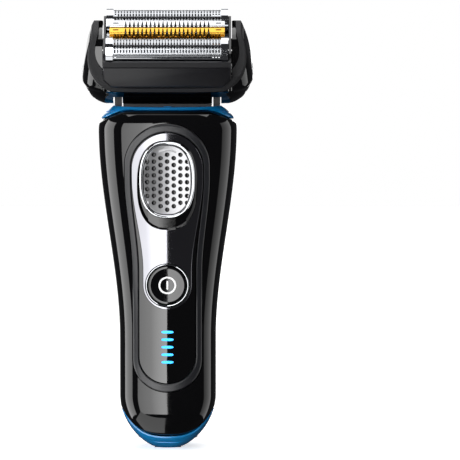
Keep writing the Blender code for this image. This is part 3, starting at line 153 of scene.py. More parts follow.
def body(name, points, faces):
    mesh = bpy.data.meshes.new(name)
    mesh.from_pydata([Vector(p) for p in points], [], faces)
    made = bpy.data.objects.new(name, mesh)
    bpy.context.scene.collection.objects.link(made)
    return smooth(made)


def slab(name, outer, inner):
    """A closed body between two grids of points, joined along their borders."""
    rows, columns = len(outer), len(outer[0])
    points = [p for row in outer for p in row] + [p for row in inner for p in row]
    back = rows * columns
    faces = []
    for r in range(rows - 1):
        for c in range(columns - 1):
            start = r * columns + c
            quad = [start, start + 1, start + columns + 1, start + columns]
            faces.append(quad)
            faces.append([back + i for i in reversed(quad)])
    border = list(range(columns))
    border += [r * columns + columns - 1 for r in range(1, rows)]
    border += [(rows - 1) * columns + c for c in range(columns - 2, -1, -1)]
    border += [r * columns for r in range(rows - 2, 0, -1)]
    for i, near in enumerate(border):
        far = border[(i + 1) % len(border)]
        faces.append([near, back + near, back + far, far])
    return body(name, points, faces)


def loft(name, rings, ends="caps"):
    """Rings of equal count joined in order: capped, left open, or the last joined to the first."""
    count = len(rings[0])
    points = [p for ring in rings for p in ring]
    faces = []
    spans = len(rings) if ends == "wrap" else len(rings) - 1
    for r in range(spans):
        low = r * count
        high = (r + 1) % len(rings) * count
        for i in range(count):
            j = (i + 1) % count
            faces.append([low + i, low + j, high + j, high + i])
    if ends == "caps":
        faces.append(list(range(count)))
        faces.append([len(points) - count + i for i in range(count)])
    return body(name, points, faces)


def prism(name, outline, axis, low, high):
    """An outline drawn across one axis and carried along it."""
    place = {
        "x": lambda a, b, t: (t, a, b),
        "y": lambda a, b, t: (a, t, b),
        "z": lambda a, b, t: (a, b, t),
    }[axis]
    return loft(name, [[place(a, b, t) for a, b in outline] for t in (low, high)])


def settle(piece):
    """Apply the piece's modifiers to its mesh."""
    bpy.context.view_layer.update()
    seen = piece.evaluated_get(bpy.context.evaluated_depsgraph_get())
    mesh = bpy.data.meshes.new_from_object(seen)
    piece.modifiers.clear()
    piece.data = mesh
    return smooth(piece)


def combine(piece, operation, *tools):
    """Cut, join or keep with other bodies, which are used up."""
    for tool in tools:
        step = piece.modifiers.new(operation, "BOOLEAN")
        step.operation = operation
        step.solver = "EXACT"
        step.object = tool
    settle(piece)
    for tool in tools:
        bpy.data.objects.remove(tool)
    return piece


def cut(piece, *tools):
    return combine(piece, "DIFFERENCE", *tools)


def place(piece, material, body_name, slot, *nodes):
    """Give the piece its material and its CAD body, and hide the nodes that it stands for; the
    slot is not used.
    """
    piece.data.materials.clear()
    piece.data.materials.append(material)
    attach(piece, body_name)
    if nodes:
        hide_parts(*nodes)
    return piece


def ease(share):
    t = min(max(share, 0.0), 1.0)
    return t * t * (3 - 2 * t)


def handle_size(z):
    """Half width, front depth and rear depth of the handle at a height."""
    rise = max(0.0, 1 - (z + FOOT_DROP) / FOOT_RISE)
    foot = (1 - rise**FOOT_POWER) ** (1 / FOOT_POWER)
    rise = max(0.0, z - SHOULDER_Z) / NECK_RISE
    neck = math.sqrt(max(0.0, 1 - rise * rise))
    grow = ease((z - WAIST_Z) / SHOULDER_RISE)
    return [(waist + (shoulder - waist) * grow) * MM * foot * neck
            for waist, shoulder in HANDLE_SIZES]


def rounded(value, power):
    """A power that keeps the sign."""
    return math.copysign(abs(value) ** power, value)


def on_turn(turn, z, inset=0.0):
    """The point of the handle's skin at a turn from the middle of the front, moved inwards."""
    half, front, rear = handle_size(z)
    across = rounded(math.sin(turn), ROUNDNESS)
    along = rounded(math.cos(turn), ROUNDNESS)
    depth = front if along > 0 else rear
    return (across * (half - inset), -along * (depth - inset), z)


def base_seam(x):
    middle, rise = BASE_SEAM
    return (middle + rise * (abs(x) / BASE_SEAM_REACH) ** 3) * MM


def top_seam(x):
    middle, rise = TOP_SEAM
    return (middle + rise * (max(0.0, abs(x) - TOP_SEAM_FLAT) / TOP_SEAM_REACH) ** 1.5) * MM


def seam_height(turn, seam):
    """Where a seam that is drawn in the front view crosses the skin at a turn."""
    z = seam(0)
    for _ in range(12):
        z = seam(on_turn(turn, z)[0])
    return z


def casing(name, facing, edge_y):
    """Half of the casing: rows follow both seams, and each edge has its chamfer."""
    rows = [(0, 0, CHAMFER_DEPTH), (0, BASE_CHAMFER / 2, CHAMFER_DEPTH / 2), (0, BASE_CHAMFER, 0)]
    rows += [(0, BASE_CHAMFER + 0.15 * MM, 0)]
    rows += [(i / 90, 0, 0) for i in range(2, 89)]
    rows += [(1, -TOP_CHAMFER - 0.15 * MM, 0), (1, -TOP_CHAMFER, 0)]
    rows += [(1, -TOP_CHAMFER / 2, CHAMFER_DEPTH / 2), (1, 0, CHAMFER_DEPTH)]
    count = 56
    columns = [-1, -0.994] + [c / count for c in range(-count + 1, count)] + [0.994, 1]
    past = math.asin((edge_y / (15 * MM)) ** (1 / ROUNDNESS))
    sweep = math.pi / 2 + past if facing < 0 else math.pi / 2 - past
    outer = []
    inner = []
    for share, offset, inset in rows:
        outer_row = []
        inner_row = []
        for c in columns:
            turn = c * sweep + (math.pi if facing > 0 else 0)
            low = seam_height(turn, base_seam) + GAP
            high = seam_height(turn, top_seam)
            z = low + (high - low) * share + offset
            edge = EDGE_ROUNDING if abs(c) == 1 else 0
            outer_row.append(on_turn(turn, z, max(inset, edge)))
            inner_row.append(on_turn(turn, z, WALL))
        outer.append(outer_row)
        inner.append(inner_row)
    return slab(name, outer, inner)


def pin(neck, lobe, bottom, top, bottom_cap, top_cap):
    """A bowling-pin outline in millimetres: a straight lower part under a round head."""
    right = []
    for i in range(1, 25):
        angle = math.pi / 2 * i / 24
        right.append((neck * math.sin(angle), bottom + bottom_cap * (1 - math.cos(angle))))
    for i in range(1, 6):
        right.append((neck, bottom + bottom_cap + (PANEL_NECK_Z - bottom - bottom_cap) * i / 6))
    for i in range(25):
        right.append((neck + (lobe - neck) * ease(i / 24), PANEL_NECK_Z + PANEL_FLARE * i / 24))
    for i in range(1, 32):
        angle = math.pi / 2 * i / 32
        right.append((lobe * math.cos(angle), top - top_cap * (1 - math.sin(angle))))
    left = [(-x, z) for x, z in reversed(right)]
    return [(x * MM, z * MM) for x, z in [(0, bottom)] + right + [(0, top)] + left]


# The gloss gives the eye mirror-like reflections with hardly any colour of their own.
piano_black_abs = finish(
    "piano_black_abs", ("#08080a", "#0b0b0d"), (0.03, 0.06), 14 * MM,
    IOR=1.53, Coat_Weight=0.35, Coat_Roughness=0.03,
)
WINDOW = (13.3, 16.2, 22.3, 124.1, 12.7, 16.1)
front_casing = casing("front_casing", -1, PARTING_Y - GAP / 2)
window = prism("window", pin(*WINDOW), "y", -REACH, 0)
place(cut(front_casing, window), piano_black_abs, "handle", "piano_black", "front_shell")


# Rear shell
# The back half is moulded in the same ABS with a spark-eroded satin texture for grip.
# It carries the long-hair trimmer's channel and the windows of the two charging contacts.

TRIMMER_HALF_WIDTH = 11.0 * MM
TRIMMER_FRONT_Y = 15.4 * MM
TRIMMER_BOTTOM_Z = 94 * MM
CHANNEL_HALF_WIDTH = TRIMMER_HALF_WIDTH + 0.4 * MM
CHANNEL_TOP = 131 * MM
CONTACT_X = 5.5 * MM
CONTACT_Z = 30 * MM
CONTACT_HALF_WIDTH = 1.8 * MM
CONTACT_HALF_HEIGHT = 3.6 * MM


def block(name, low, high):
    """A box between two corners, used to cut and to join."""
    outline = [(low[0], low[1]), (high[0], low[1]), (high[0], high[1]), (low[0], high[1])]
    return prism(name, outline, "z", low[2], high[2])


def rear_channel(low_z, high_z):
    """The room that the long-hair trimmer slides in."""
    return block("channel", (-CHANNEL_HALF_WIDTH, TRIMMER_FRONT_Y - GAP, low_z),
                 (CHANNEL_HALF_WIDTH, REACH, high_z))


# The fine texture breaks reflections up into a broad dull sheen.
satin_black_abs = finish(
    "satin_black_abs", ("#141416", "#1b1b1e"), (0.42, 0.52), 20 * MM,
    0.35 * MM, 0.02 * MM, IOR=1.53,
)
rear_casing = casing("rear_casing", 1, PARTING_Y + GAP / 2)
holes = [rear_channel(TRIMMER_BOTTOM_Z - MM, CHANNEL_TOP)]
for side in (-1, 1):
    x = side * CONTACT_X
    holes.append(block("contact_hole",
                       (x - CONTACT_HALF_WIDTH, 0, CONTACT_Z - CONTACT_HALF_HEIGHT),
                       (x + CONTACT_HALF_WIDTH, REACH, CONTACT_Z + CONTACT_HALF_HEIGHT)))
place(cut(rear_casing, *holes), satin_black_abs, "handle", "satin_black", "rear_shell")


# Base cap
# The foot is a separate cap in deep blue ABS with a fine pearl, held up by two screws.
# A shallow crease runs across its front, and the charging socket opens in its middle.

TURNS = 144
CREASE_DEPTH = 0.35 * MM
CREASE_HALF_WIDTH = 9 * MM
SOCKET_HALF_WIDTH = 5.3 * MM
SOCKET_HALF_DEPTH = 3.5 * MM
SCREW_X = 9.6 * MM
SCREW_HOLE_RADIUS = 1.9 * MM


def circle(radius, centre, count=48, start=0.0, sweep=2 * math.pi):
    steps = count if sweep >= 2 * math.pi else count - 1
    angles = [start + sweep * i / steps for i in range(count)]
    return [(centre[0] + radius * math.cos(a), centre[1] + radius * math.sin(a)) for a in angles]


def turn_rings(rows, low_seam, high_seam):
    """Closed rings of the handle's skin between two seams: rows give share, offset and inset."""
    rings = []
    for share, offset, inset in rows:
        ring = []
        for i in range(TURNS):
            turn = 2 * math.pi * i / TURNS
            low = seam_height(turn, low_seam)
            high = seam_height(turn, high_seam)
            z = low + (high - low) * share + offset
            depth = inset(turn) if callable(inset) else inset
            ring.append(on_turn(turn, z, depth))
        rings.append(ring)
    return rings


def crease(turn):
    x = on_turn(turn, 3 * MM)[0]
    return CREASE_DEPTH * (1 - ease(abs(x) / CREASE_HALF_WIDTH)) if math.cos(turn) > 0 else 0


# Pearl in the blue turns the lit side towards cyan and leaves the other side navy.
pearl_blue_abs = finish(
    "pearl_blue_abs", ("#0a86d2", "#12a0ea"), (0.16, 0.24), 16 * MM,
    0.12 * MM, 0.004 * MM, IOR=1.53, Metallic=0.1, Coat_Weight=0.6, Coat_Roughness=0.08,
)
outside = [(share, 0, 0) for share in (0.0, 0.1, 0.2, 0.3, 0.4)]
outside += [(0.45, 0, 0), (0.5, 0, crease), (0.53, 0, crease), (0.56, 0, 0)]
outside += [(share, 0, 0) for share in (0.66, 0.76, 0.86)]
outside += [(1, -0.5 * MM, 0), (1, 0, 0.45 * MM)]
inside = [(1, 0, WALL), (1, -1.5 * MM, WALL)]
cap_rings = turn_rings(outside + inside, lambda x: 0.0, base_seam)
cap_rings.append([on_turn(2 * math.pi * i / TURNS, WALL, WALL) for i in range(TURNS)])
foot_cap = loft("foot_cap", cap_rings)
tools = [block("socket_hole", (-SOCKET_HALF_WIDTH, -SOCKET_HALF_DEPTH, -MM),
               (SOCKET_HALF_WIDTH, SOCKET_HALF_DEPTH, 4 * MM))]
for side in (-1, 1):
    outline = circle(SCREW_HOLE_RADIUS, (side * SCREW_X, 0))
    tools.append(prism("screw_hole", outline, "z", -MM, 5 * MM))
place(cut(foot_cap, *tools), pearl_blue_abs, "handle", "blue", "base_cap")


# Base screws, charging socket, pins and contacts
# Slotted steel screws hold the cap, and the socket is a moulded PBT cup with two nickel pins.
# Two gilt spring plates behind the rear shell meet the contacts of a stand.


def repaint(material, *names):
    """Give CAD nodes whose shape is right a better material."""
    for name in names:
        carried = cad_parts[name]
        for held in carried.material_slots:
            held.material = material


# Turned steel is bright with soft rings of wear.
turned_steel = finish(
    "turned_steel", ("#b9bcc0", "#cfd1d4"), (0.22, 0.34), 5 * MM,
    0.2 * MM, 0.004 * MM, Metallic=1.0,
)
# Glass-filled PBT is a dead black with a slight grain.
moulded_pbt = finish(
    "moulded_pbt", ("#101012", "#18181a"), (0.5, 0.62), 8 * MM, 0.25 * MM, 0.012 * MM, IOR=1.55,
)
# Nickel plate is warm, bright and nearly smooth.
nickel_plate = finish(
    "nickel_plate", ("#b8b2a6", "#cbc6ba"), (0.16, 0.26), 4 * MM,
    0.15 * MM, 0.003 * MM, Metallic=1.0,
)
repaint(turned_steel, "base_screw_left", "base_screw_right")
repaint(moulded_pbt, "charging_socket")
repaint(nickel_plate, "charge_pin_left", "charge_pin_right")
repaint(nickel_plate, "rear_contact_left", "rear_contact_right")


# Rear grip
# A ribbed pad of soft elastomer is moulded onto the back where the fingers close.
# It is an oblong with rounded corners and stands just proud of the shell.

GRIP_HALF_WIDTH = 10.4 * MM
GRIP_LOW = 40.1 * MM
GRIP_HIGH = 87.9 * MM
GRIP_ROWS = 144
GRIP_EDGE = 0.45 * MM
RIB_PITCH = 3.0 * MM
RIB_HEIGHT = 0.35 * MM

# Moulded rubber drinks the light and shows a fine stipple.
moulded_elastomer = finish(
    "moulded_elastomer", ("#1a1a1b", "#232325"), (0.72, 0.86), 10 * MM,
    0.3 * MM, 0.03 * MM, IOR=1.5,
)


def skin_depth(x, half, depth, inset):
    """How far the handle's skin stands from its middle plane at a distance x from its axis."""
    share = min(1.0, abs(x) / (half - inset))
    return (depth - inset) * (1 - share**SKIN_POWER) ** (1 / SKIN_POWER)


def on_rear(x, z, inset):
    half, _, rear = handle_size(z)
    return skin_depth(x, half, rear, inset)


pad_outer = []
pad_inner = []
middle = (GRIP_LOW + GRIP_HIGH) / 2
half_height = (GRIP_HIGH - GRIP_LOW) / 2
for r in range(GRIP_ROWS + 1):
    z = middle + half_height * (2 * r / GRIP_ROWS - 1)
    reach = min(1.0, abs(z - middle) / half_height)
    width = GRIP_HALF_WIDTH * max(0.0, 1 - reach**5) ** (1 / 5)
    rib = RIB_HEIGHT * (0.5 - 0.5 * math.cos(2 * math.pi * (z - GRIP_LOW) / RIB_PITCH))
    outer_row = []
    inner_row = []
    for c in range(-16, 17):
        x = width * c / 16
        border = min((1 - abs(c) / 16) * 8, (1 - reach) * 24, 1)
        lift = GAP + GRIP_EDGE + (RIB_HEIGHT - rib) * border
        outer_row.append((x, on_rear(x, z, -lift), z))
        inner_row.append((x, on_rear(x, z, -GAP), z))
    pad_outer.append(outer_row)
    pad_inner.append(inner_row)
place(slab("finger_pad", pad_outer, pad_inner), moulded_elastomer, "handle", "rubber_black",
      "rear_grip")


# Neck collar
# The top of the handle is a blue ring in the same pearl ABS, snapped over the chassis.
# A groove runs round it. Two ears on top carry the head's pivot pins, and between them a
# hollow seat follows the head's drum; ears and seat are coloured black, a painted shade for
# the dark gap under the head.

PIVOT_Z = 142.8 * MM
COLLAR_TOP = 129.8 * MM
EAR_INNER = 17.2 * MM
EAR_OUTER = 19.8 * MM
EAR_HALF = 4.0 * MM
SEAT_HALF_WIDTH = EAR_INNER - 0.7 * MM
SEAT_HALF_DEPTH = 8 * MM
SEAT_FRONT_LIFT = 0.8 * MM
SEAT_REAR_LIFT = 1.8 * MM
SEAT_RADIUS = 13.2 * MM
PIN_BORE = 1.8 * MM
BOLT_BORE = 1.6 * MM
BOLT_Y = -10.3 * MM


def collar_foot(x):
    return top_seam(x) + GAP


def span(side, near, far):
    """The lower and the upper end of a stretch on one side of the middle."""
    return sorted((side * near, side * far))


def paint_part(piece, second, chosen):
    """Give a second material to the faces whose middles are chosen."""
    piece.data.materials.append(second)
    for face in piece.data.polygons:
        face.material_index = 1 if chosen(*face.center) else 0


def in_seat_shade(x, y, z):
    """Whether a point of the collar is on an ear or in the seat between the ears, where the black
    painted shade goes.
    """
    near = abs(x) < EAR_OUTER + GAP and abs(y) < SEAT_HALF_DEPTH + 0.1 * MM
    raised = z > COLLAR_TOP + 0.01 * MM or abs(x) < SEAT_HALF_WIDTH
    return near and raised and z > COLLAR_TOP - 0.3 * MM


rows = [(1, -2 * MM, WALL), (0, 0, WALL), (0, 0, 0.3 * MM), (0.12, 0, 0)]
rows += [(0.3, 0, 0), (0.42, 0, 0), (0.45, 0, 0.25 * MM), (0.5, 0, 0.25 * MM), (0.53, 0, 0)]
rows += [(share, 0, 0) for share in (0.65, 0.75, 0.85, 0.93)]
rows += [(1, 0, 0.15 * MM), (1, 0, 1.2 * MM)]
neck_ring = loft("neck_ring", turn_rings(rows, collar_foot, lambda x: COLLAR_TOP))
tools = []
for side in (-1, 1):
    ear = circle(EAR_HALF, (0, PIVOT_Z), 33, 0, math.pi)
    ear += [(-EAR_HALF, COLLAR_TOP - MM), (EAR_HALF, COLLAR_TOP - MM)]
    tools.append(prism("ear", ear, "x", *span(side, EAR_INNER, EAR_OUTER)))
for side, lift in ((-1, SEAT_FRONT_LIFT), (1, SEAT_REAR_LIFT)):
    low_y, high_y = span(side, 0, SEAT_HALF_DEPTH)
    tools.append(block("seat", (-SEAT_HALF_WIDTH, low_y, COLLAR_TOP - MM),
                       (SEAT_HALF_WIDTH, high_y, COLLAR_TOP + lift)))
combine(neck_ring, "UNION", *tools)
reach = SEAT_HALF_WIDTH + MM / 4
tools = [prism("head_sweep", circle(SEAT_RADIUS, (0, PIVOT_Z), 160), "x", -reach, reach),
         prism("pin_bore", circle(PIN_BORE, (0, PIVOT_Z)), "x", -REACH, REACH),
         prism("bolt_hole", circle(BOLT_BORE, (0, BOLT_Y)), "z", 0, 140 * MM),
         rear_channel(0, 180 * MM)]
place(cut(neck_ring, *tools), pearl_blue_abs, "handle", "blue", "neck_collar")
# The ears and the seat get the black ABS: painted shade for the dark gap under the head.
paint_part(neck_ring, satin_black_abs, in_seat_shade)
repaint(turned_steel, "pivot_pin_left", "pivot_pin_right")


# Chassis, circuit board and battery
# A glass-filled nylon frame carries the board in front and one round cell behind.
# Welded nickel strips join the cell to the board.

# Nylon is a cool grey with a faint fibre pattern.
glass_filled_nylon = finish(
    "glass_filled_nylon", ("#5a5d60", "#6a6d70"), (0.48, 0.6), 9 * MM,
    0.4 * MM, 0.015 * MM, (1, 1, 0.2), IOR=1.53,
)
# Solder mask is a glossy green over the copper.
solder_mask = finish(
    "solder_mask", ("#0d4a24", "#12602f"), (0.28, 0.4), 3 * MM, 0.5 * MM, 0.01 * MM, IOR=1.5,
)
# The cell's shrink sleeve is a thin blue film with soft wrinkles.
shrink_sleeve = finish(
    "shrink_sleeve", ("#183f86", "#2150a2"), (0.25, 0.38), 12 * MM,
    2.5 * MM, 0.03 * MM, (1, 1, 0.3), IOR=1.5,
)
repaint(glass_filled_nylon, "chassis")
repaint(solder_mask, "circuit_board")
repaint(shrink_sleeve, "battery_cell")
repaint(nickel_plate, "battery_tab_top", "battery_tab_bottom")


# Panel surround
# A frame of satin grey ABS is pressed into the shell's window and stands a little proud.
# Its edges are broken by a narrow chamfer on both sides.

# A painted satin finish gives the frame a soft, even sheen.
satin_grey_paint = finish(
    "satin_grey_paint", ("#28292c", "#303135"), (0.26, 0.34), 18 * MM,
    0.2 * MM, 0.006 * MM, IOR=1.5, Coat_Weight=0.2, Coat_Roughness=0.2,
)


def on_front(x, z, inset):
    """How far forward the handle's skin lies at a point of the front view."""
    half, front, _ = handle_size(z)
    return -skin_depth(x, half, front, inset)


def rail(name, outer, inner, profile):
    """A frame between two outlines, with its section given as shares of width and insets."""
    rings = []
    for share, inset in profile:
        ring = []
        for (ox, oz), (ix, iz) in zip(outer, inner):
            x = ox + (ix - ox) * share
            z = oz + (iz - oz) * share
            ring.append((x, on_front(x, z, inset * MM), z))
        rings.append(ring)
    return loft(name, rings, "wrap")


SURROUND = (13.0, 15.9, 22.6, 123.8, 12.4, 15.8)
SURROUND_INSIDE = (10.9, 13.8, 25.45, 120.95, 10.3, 13.7)
frame_section = [(0, 2.2), (0, 0.1), (0, -0.08)]
frame_section += [(share, -0.3) for share in (0.12, 0.3, 0.5, 0.7, 0.86)]
frame_section += [(1, 0.0), (1, 0.6), (1, 2.2)]
panel_frame = rail("panel_frame", pin(*SURROUND), pin(*SURROUND_INSIDE), frame_section)
place(panel_frame, satin_grey_paint, "handle", "satin_grey", "panel_surround")


# Display panel
# A gloss black polycarbonate window lies inside the surround, printed black from behind.
# It has openings for the lock slide and the button and five slots for the charge lights.

DISPLAY_INSET = 0.4 * MM
DISPLAY_BACK = 2.0 * MM
BUTTON_Z = 63 * MM
BUTTON_OPENING = 8.4 * MM
LOCK_OPENING_Z = 100.9 * MM
LOCK_OPENING_HALF_WIDTH = 11.3 * MM
LOCK_OPENING_HALF_HEIGHT = 16.9 * MM
LIGHT_HEIGHTS = [45.2 * MM - 2.85 * MM * i for i in range(5)]
LIGHT_HALF_WIDTH = 2.25 * MM
LIGHT_HALF_HEIGHT = 0.52 * MM

# Hard-coated polycarbonate is the deepest black on the object and the sharpest mirror.
hard_coated_polycarbonate = finish(
    "hard_coated_polycarbonate", ("#050506", "#070708"), (0.015, 0.03), 25 * MM,
    IOR=1.58, Coat_Weight=0.5, Coat_Roughness=0.01,
)


def oval(half_width, half_height, centre, power=2.5, count=128):
    points = []
    for i in range(count):
        angle = 2 * math.pi * (i + 0.5) / count
        across = rounded(math.cos(angle), 2 / power)
        along = rounded(math.sin(angle), 2 / power)
        points.append((centre[0] + half_width * across, centre[1] + half_height * along))
    return points


def drape(name, outline, spine, face, back, chamfer, rings=9):
    """A plate that follows the handle's front, drawn in from its outline to a spine of heights."""
    def ring(share, inset, inwards=0.0):
        made = []
        for x, z in outline:
            centre_z = min(max(z, spine[0]), spine[1])
            away = math.hypot(x, z - centre_z)
            scale = max(0.0, share - inwards / max(away, MM))
            here_x = x * scale
            here_z = centre_z + (z - centre_z) * scale
            made.append((here_x, on_front(here_x, here_z, inset), here_z))
        return made
    shares = [i / rings for i in range(rings)]
    layers = [ring(s, back) for s in shares]
    layers += [ring(1, back), ring(1, face + chamfer), ring(1, face, chamfer)]
    layers += [ring(s, face) for s in reversed(shares)]
    return loft(name, layers, "open")


def front_openings():
    """The lock slide's oval opening and the button's round one."""
    lock = oval(LOCK_OPENING_HALF_WIDTH, LOCK_OPENING_HALF_HEIGHT, (0, LOCK_OPENING_Z))
    button = circle(BUTTON_OPENING, (0, BUTTON_Z), 96)
    return [prism("opening", outline, "y", -REACH, 0) for outline in (lock, button)]


DISPLAY = (10.6, 13.5, 25.75, 120.65, 10.0, 13.4)
DISPLAY_SPINE = (35.75 * MM, 107.25 * MM)
display = drape("display_window", pin(*DISPLAY), DISPLAY_SPINE, DISPLAY_INSET, DISPLAY_BACK,
                0.08 * MM)
tools = front_openings()
for z in LIGHT_HEIGHTS:
    slot = oval(LIGHT_HALF_WIDTH, LIGHT_HALF_HEIGHT, (0, z), 3, 48)
    tools.append(prism("light_slot", slot, "y", -REACH, 0))
place(cut(display, *tools), hard_coated_polycarbonate, "handle", "piano_black", "display_panel")


# Keyhole plate
# A thin plate vacuum-coated as a dark mirror lies over the display panel.
# It rings the lock slide's recess, runs down as a tongue and ends round the button.

# The dark mirror is a metal film, so it repeats the lights almost in full.
vacuum_coated_mirror = finish(
    "vacuum_coated_mirror", ("#8d8d92", "#97979c"), (0.03, 0.05), 30 * MM, Metallic=1.0,
)
KEYHOLE = (9.15, 13.4, 53.85, 120.55, 9.15, 13.7)
KEYHOLE_SPINE = (63 * MM, 106.85 * MM)
keyhole = drape("mirror_plate", pin(*KEYHOLE), KEYHOLE_SPINE, -0.3 * MM, 0.15 * MM, 0.2 * MM)
place(cut(keyhole, *front_openings()), vacuum_coated_mirror, "handle", "dark_mirror",
      "keyhole_plate")
repaint(piano_black_abs, "lock_track")


# Charge lights
# A clear acrylic comb stands behind the display panel with one finger in each slot.
# Small lamps on the board light it blue while the cell is charging.

# Lit acrylic glows evenly and strongly, so the bars read as cyan lamps on the black.
lit_acrylic = finish(
    "lit_acrylic", ("#1d7fc4", "#2c96dc"), (0.1, 0.16), 6 * MM, IOR=1.49,
    Emission_Color=linear("#2fb4ff"), Emission_Strength=1.7,
)
GUIDE_HALF_WIDTH = 2.6 * MM
GUIDE_LOW = 32.4 * MM
GUIDE_HIGH = 46.6 * MM
GUIDE_FRONT_Y = -12.9 * MM
GUIDE_REAR_Y = -11.05 * MM
FINGER_HALF_WIDTH = 2.15 * MM
FINGER_HALF_HEIGHT = 0.44 * MM
guide = block("charge_light_guide", (-GUIDE_HALF_WIDTH, GUIDE_FRONT_Y, GUIDE_LOW),
              (GUIDE_HALF_WIDTH, GUIDE_REAR_Y, GUIDE_HIGH))
fingers = []
for z in LIGHT_HEIGHTS:
    finger = oval(FINGER_HALF_WIDTH, FINGER_HALF_HEIGHT, (0, z), 3, 48)
    fingers.append(prism("finger", finger, "y", on_front(0, z, 0.5 * MM), -12 * MM))
place(combine(guide, "UNION", *fingers), lit_acrylic, "handle", "light", "light_guide")


# Power button
# The round cap is polished black ABS on a short stem, inside a plated ring.
# The power symbol is a white transfer under a clear coat.

BUTTON_RADIUS = 7.2 * MM
BUTTON_FACE = on_front(0, BUTTON_Z, -0.3 * MM)
BUTTON_BACK = on_front(0, BUTTON_Z, 2.0 * MM)
BUTTON_DISH = 0.19
DISH_RADIUS = 6.8 * MM
MARK_OUTER = 3.3 * MM
MARK_WIDTH = 0.65 * MM
BAR_HALF_HEIGHT = 1.6 * MM


def turned(name, profile, x, z, ends="caps", count=96):
    """A body turned about an axis that runs to the front, from pairs of radius and depth."""
    rings = []
    for radius, y in profile:
        rings.append([(a, y, b) for a, b in circle(radius, (x, z), count)])
    return loft(name, rings, ends)


profile = [(0.02 * MM, BUTTON_BACK + 1.6 * MM), (1.8 * MM, BUTTON_BACK + 1.6 * MM)]
profile += [(2 * MM, BUTTON_BACK + 1.4 * MM), (2 * MM, BUTTON_BACK), (6.9 * MM, BUTTON_BACK)]
profile += [(BUTTON_RADIUS, BUTTON_BACK - 0.3 * MM), (BUTTON_RADIUS, BUTTON_FACE + 0.35 * MM)]
profile += [(7.08 * MM, BUTTON_FACE + 0.12 * MM), (6.8 * MM, BUTTON_FACE + 0.01 * MM)]
dished = ((6.2, 0.03), (5, 0.09), (3.5, 0.15), (2, 0.18), (0.02, BUTTON_DISH))
profile += [(radius * MM, BUTTON_FACE + dish * MM) for radius, dish in dished]
place(turned("power_cap", profile, 0, BUTTON_Z), piano_black_abs, "power_button", "piano_black",
      "power_button")

# Bright chrome over plastic is a clean, cold mirror.
chrome_plate = finish(
    "chrome_plate", ("#c9cbcf", "#dcdee1"), (0.04, 0.08), 12 * MM, Metallic=1.0,
)
section = [(7.5, 2.3), (7.5, 0.25), (7.62, 0.06), (7.8, 0.0), (7.98, 0.06), (8.1, 0.25)]
section += [(8.1, 2.3)]
section = [(radius * MM, BUTTON_FACE + y * MM) for radius, y in section]
place(turned("button_bezel", section, 0, BUTTON_Z, "wrap"), chrome_plate, "handle", "chrome",
      "power_button_ring")

# White ink is flat and slightly chalky; its faint glow is painted light that brightens the symbol.
white_ink_painted_glow = finish(
    "white_ink_painted_glow", ("#f2f2f2", "#ffffff"), (0.4, 0.5), 3 * MM, 0.1 * MM, 0.002 * MM, IOR=1.5,
    Emission_Color=linear("#ffffff"), Emission_Strength=0.35,
)


def mark_point(x, z, lift):
    away = min(1.0, math.hypot(x, z - BUTTON_Z) / DISH_RADIUS)
    return (x, BUTTON_FACE + (BUTTON_DISH * MM) * (1 - away**2) - lift, z)


rings = []
for radius, lift in ((MARK_OUTER, -0.1), (MARK_OUTER, 0.03), (MARK_OUTER - MARK_WIDTH, 0.03),
                     (MARK_OUTER - MARK_WIDTH, -0.1)):
    rings.append([mark_point(x, z, lift * MM) for x, z in circle(radius, (0, BUTTON_Z), 96)])
place(loft("power_mark_ring", rings, "wrap"), white_ink_painted_glow, "power_button", "white_plastic")
bar = oval(MARK_WIDTH / 2, BAR_HALF_HEIGHT, (0, BUTTON_Z), 6, 48)
rings = [[mark_point(x, z, lift * MM) for x, z in bar] for lift in (-0.1, 0.03)]
place(loft("power_mark_bar", rings), white_ink_painted_glow, "power_button", "white_plastic")

# Clear silicone and a stamped tin can make up the switch behind the button.
clear_silicone = finish(
    "clear_silicone", ("#9a9fa6", "#b0b5bb"), (0.35, 0.5), 4 * MM, 0.6 * MM, 0.01 * MM,
    IOR=1.41, Transmission_Weight=0.3,
)
repaint(clear_silicone, "power_button_dome")
repaint(nickel_plate, "power_switch")


# Head-lock slide
# A satin nickel plate with dimples for the thumb sits in a chromed rim on a nylon carrier.
# Pushed down, it draws a steel bolt out of the head so that the head can tilt.

LOCK_Z = 102.9 * MM
LOCK_HALF_WIDTH = 10.4
LOCK_HALF_HEIGHT = 14.45
LOCK_RIM_WIDTH = 1.2
DIMPLE_RADIUS = 0.89 * MM
COLUMN_PITCH = 2.47 * MM
ROW_PITCH = 2.58 * MM
DIMPLE_MIDDLE_Z = 102.05 * MM
DISH_DEPTH = 0.95 * MM
PLATE_MARGIN = 1.5
PLATE_INSET = -0.6 * MM
PIT_SIDES = 20


def lock_oval(margin):
    return oval((LOCK_HALF_WIDTH - margin) * MM, (LOCK_HALF_HEIGHT - margin) * MM, (0, LOCK_Z))


section = [(0, 0.9), (0, -0.45), (0.12, -0.72), (0.35, -0.89), (0.55, -0.88), (0.8, -0.7)]
section += [(1, -0.4), (1, 0.9)]
rim = rail("lock_bezel", lock_oval(0), lock_oval(LOCK_RIM_WIDTH), section)
place(rim, chrome_plate, "lock_slide", "chrome", "lock_rim")

# Bead-blasted nickel spreads each reflection into a soft satin band.
blasted_nickel = finish(
    "blasted_nickel", ("#9a9a9c", "#a9a9ab"), (0.27, 0.33), 14 * MM,
    0.09 * MM, 0.003 * MM, Metallic=1.0,
)
# The dimples are coloured black, a painted shade for the hollows, so that they read as dark dots.
dimple_painted_shade = finish(
    "dimple_painted_shade", ("#0a0a0c", "#121215"), (0.18, 0.28), 3 * MM, IOR=1.5,
)


def thumb_dish(x, z):
    """How far the plate is hollowed for the thumb."""
    across = x / ((LOCK_HALF_WIDTH - PLATE_MARGIN) * MM)
    along = (z - LOCK_Z) / ((LOCK_HALF_HEIGHT - PLATE_MARGIN) * MM)
    return DISH_DEPTH * max(0.0, 1 - across**2 - along**4)


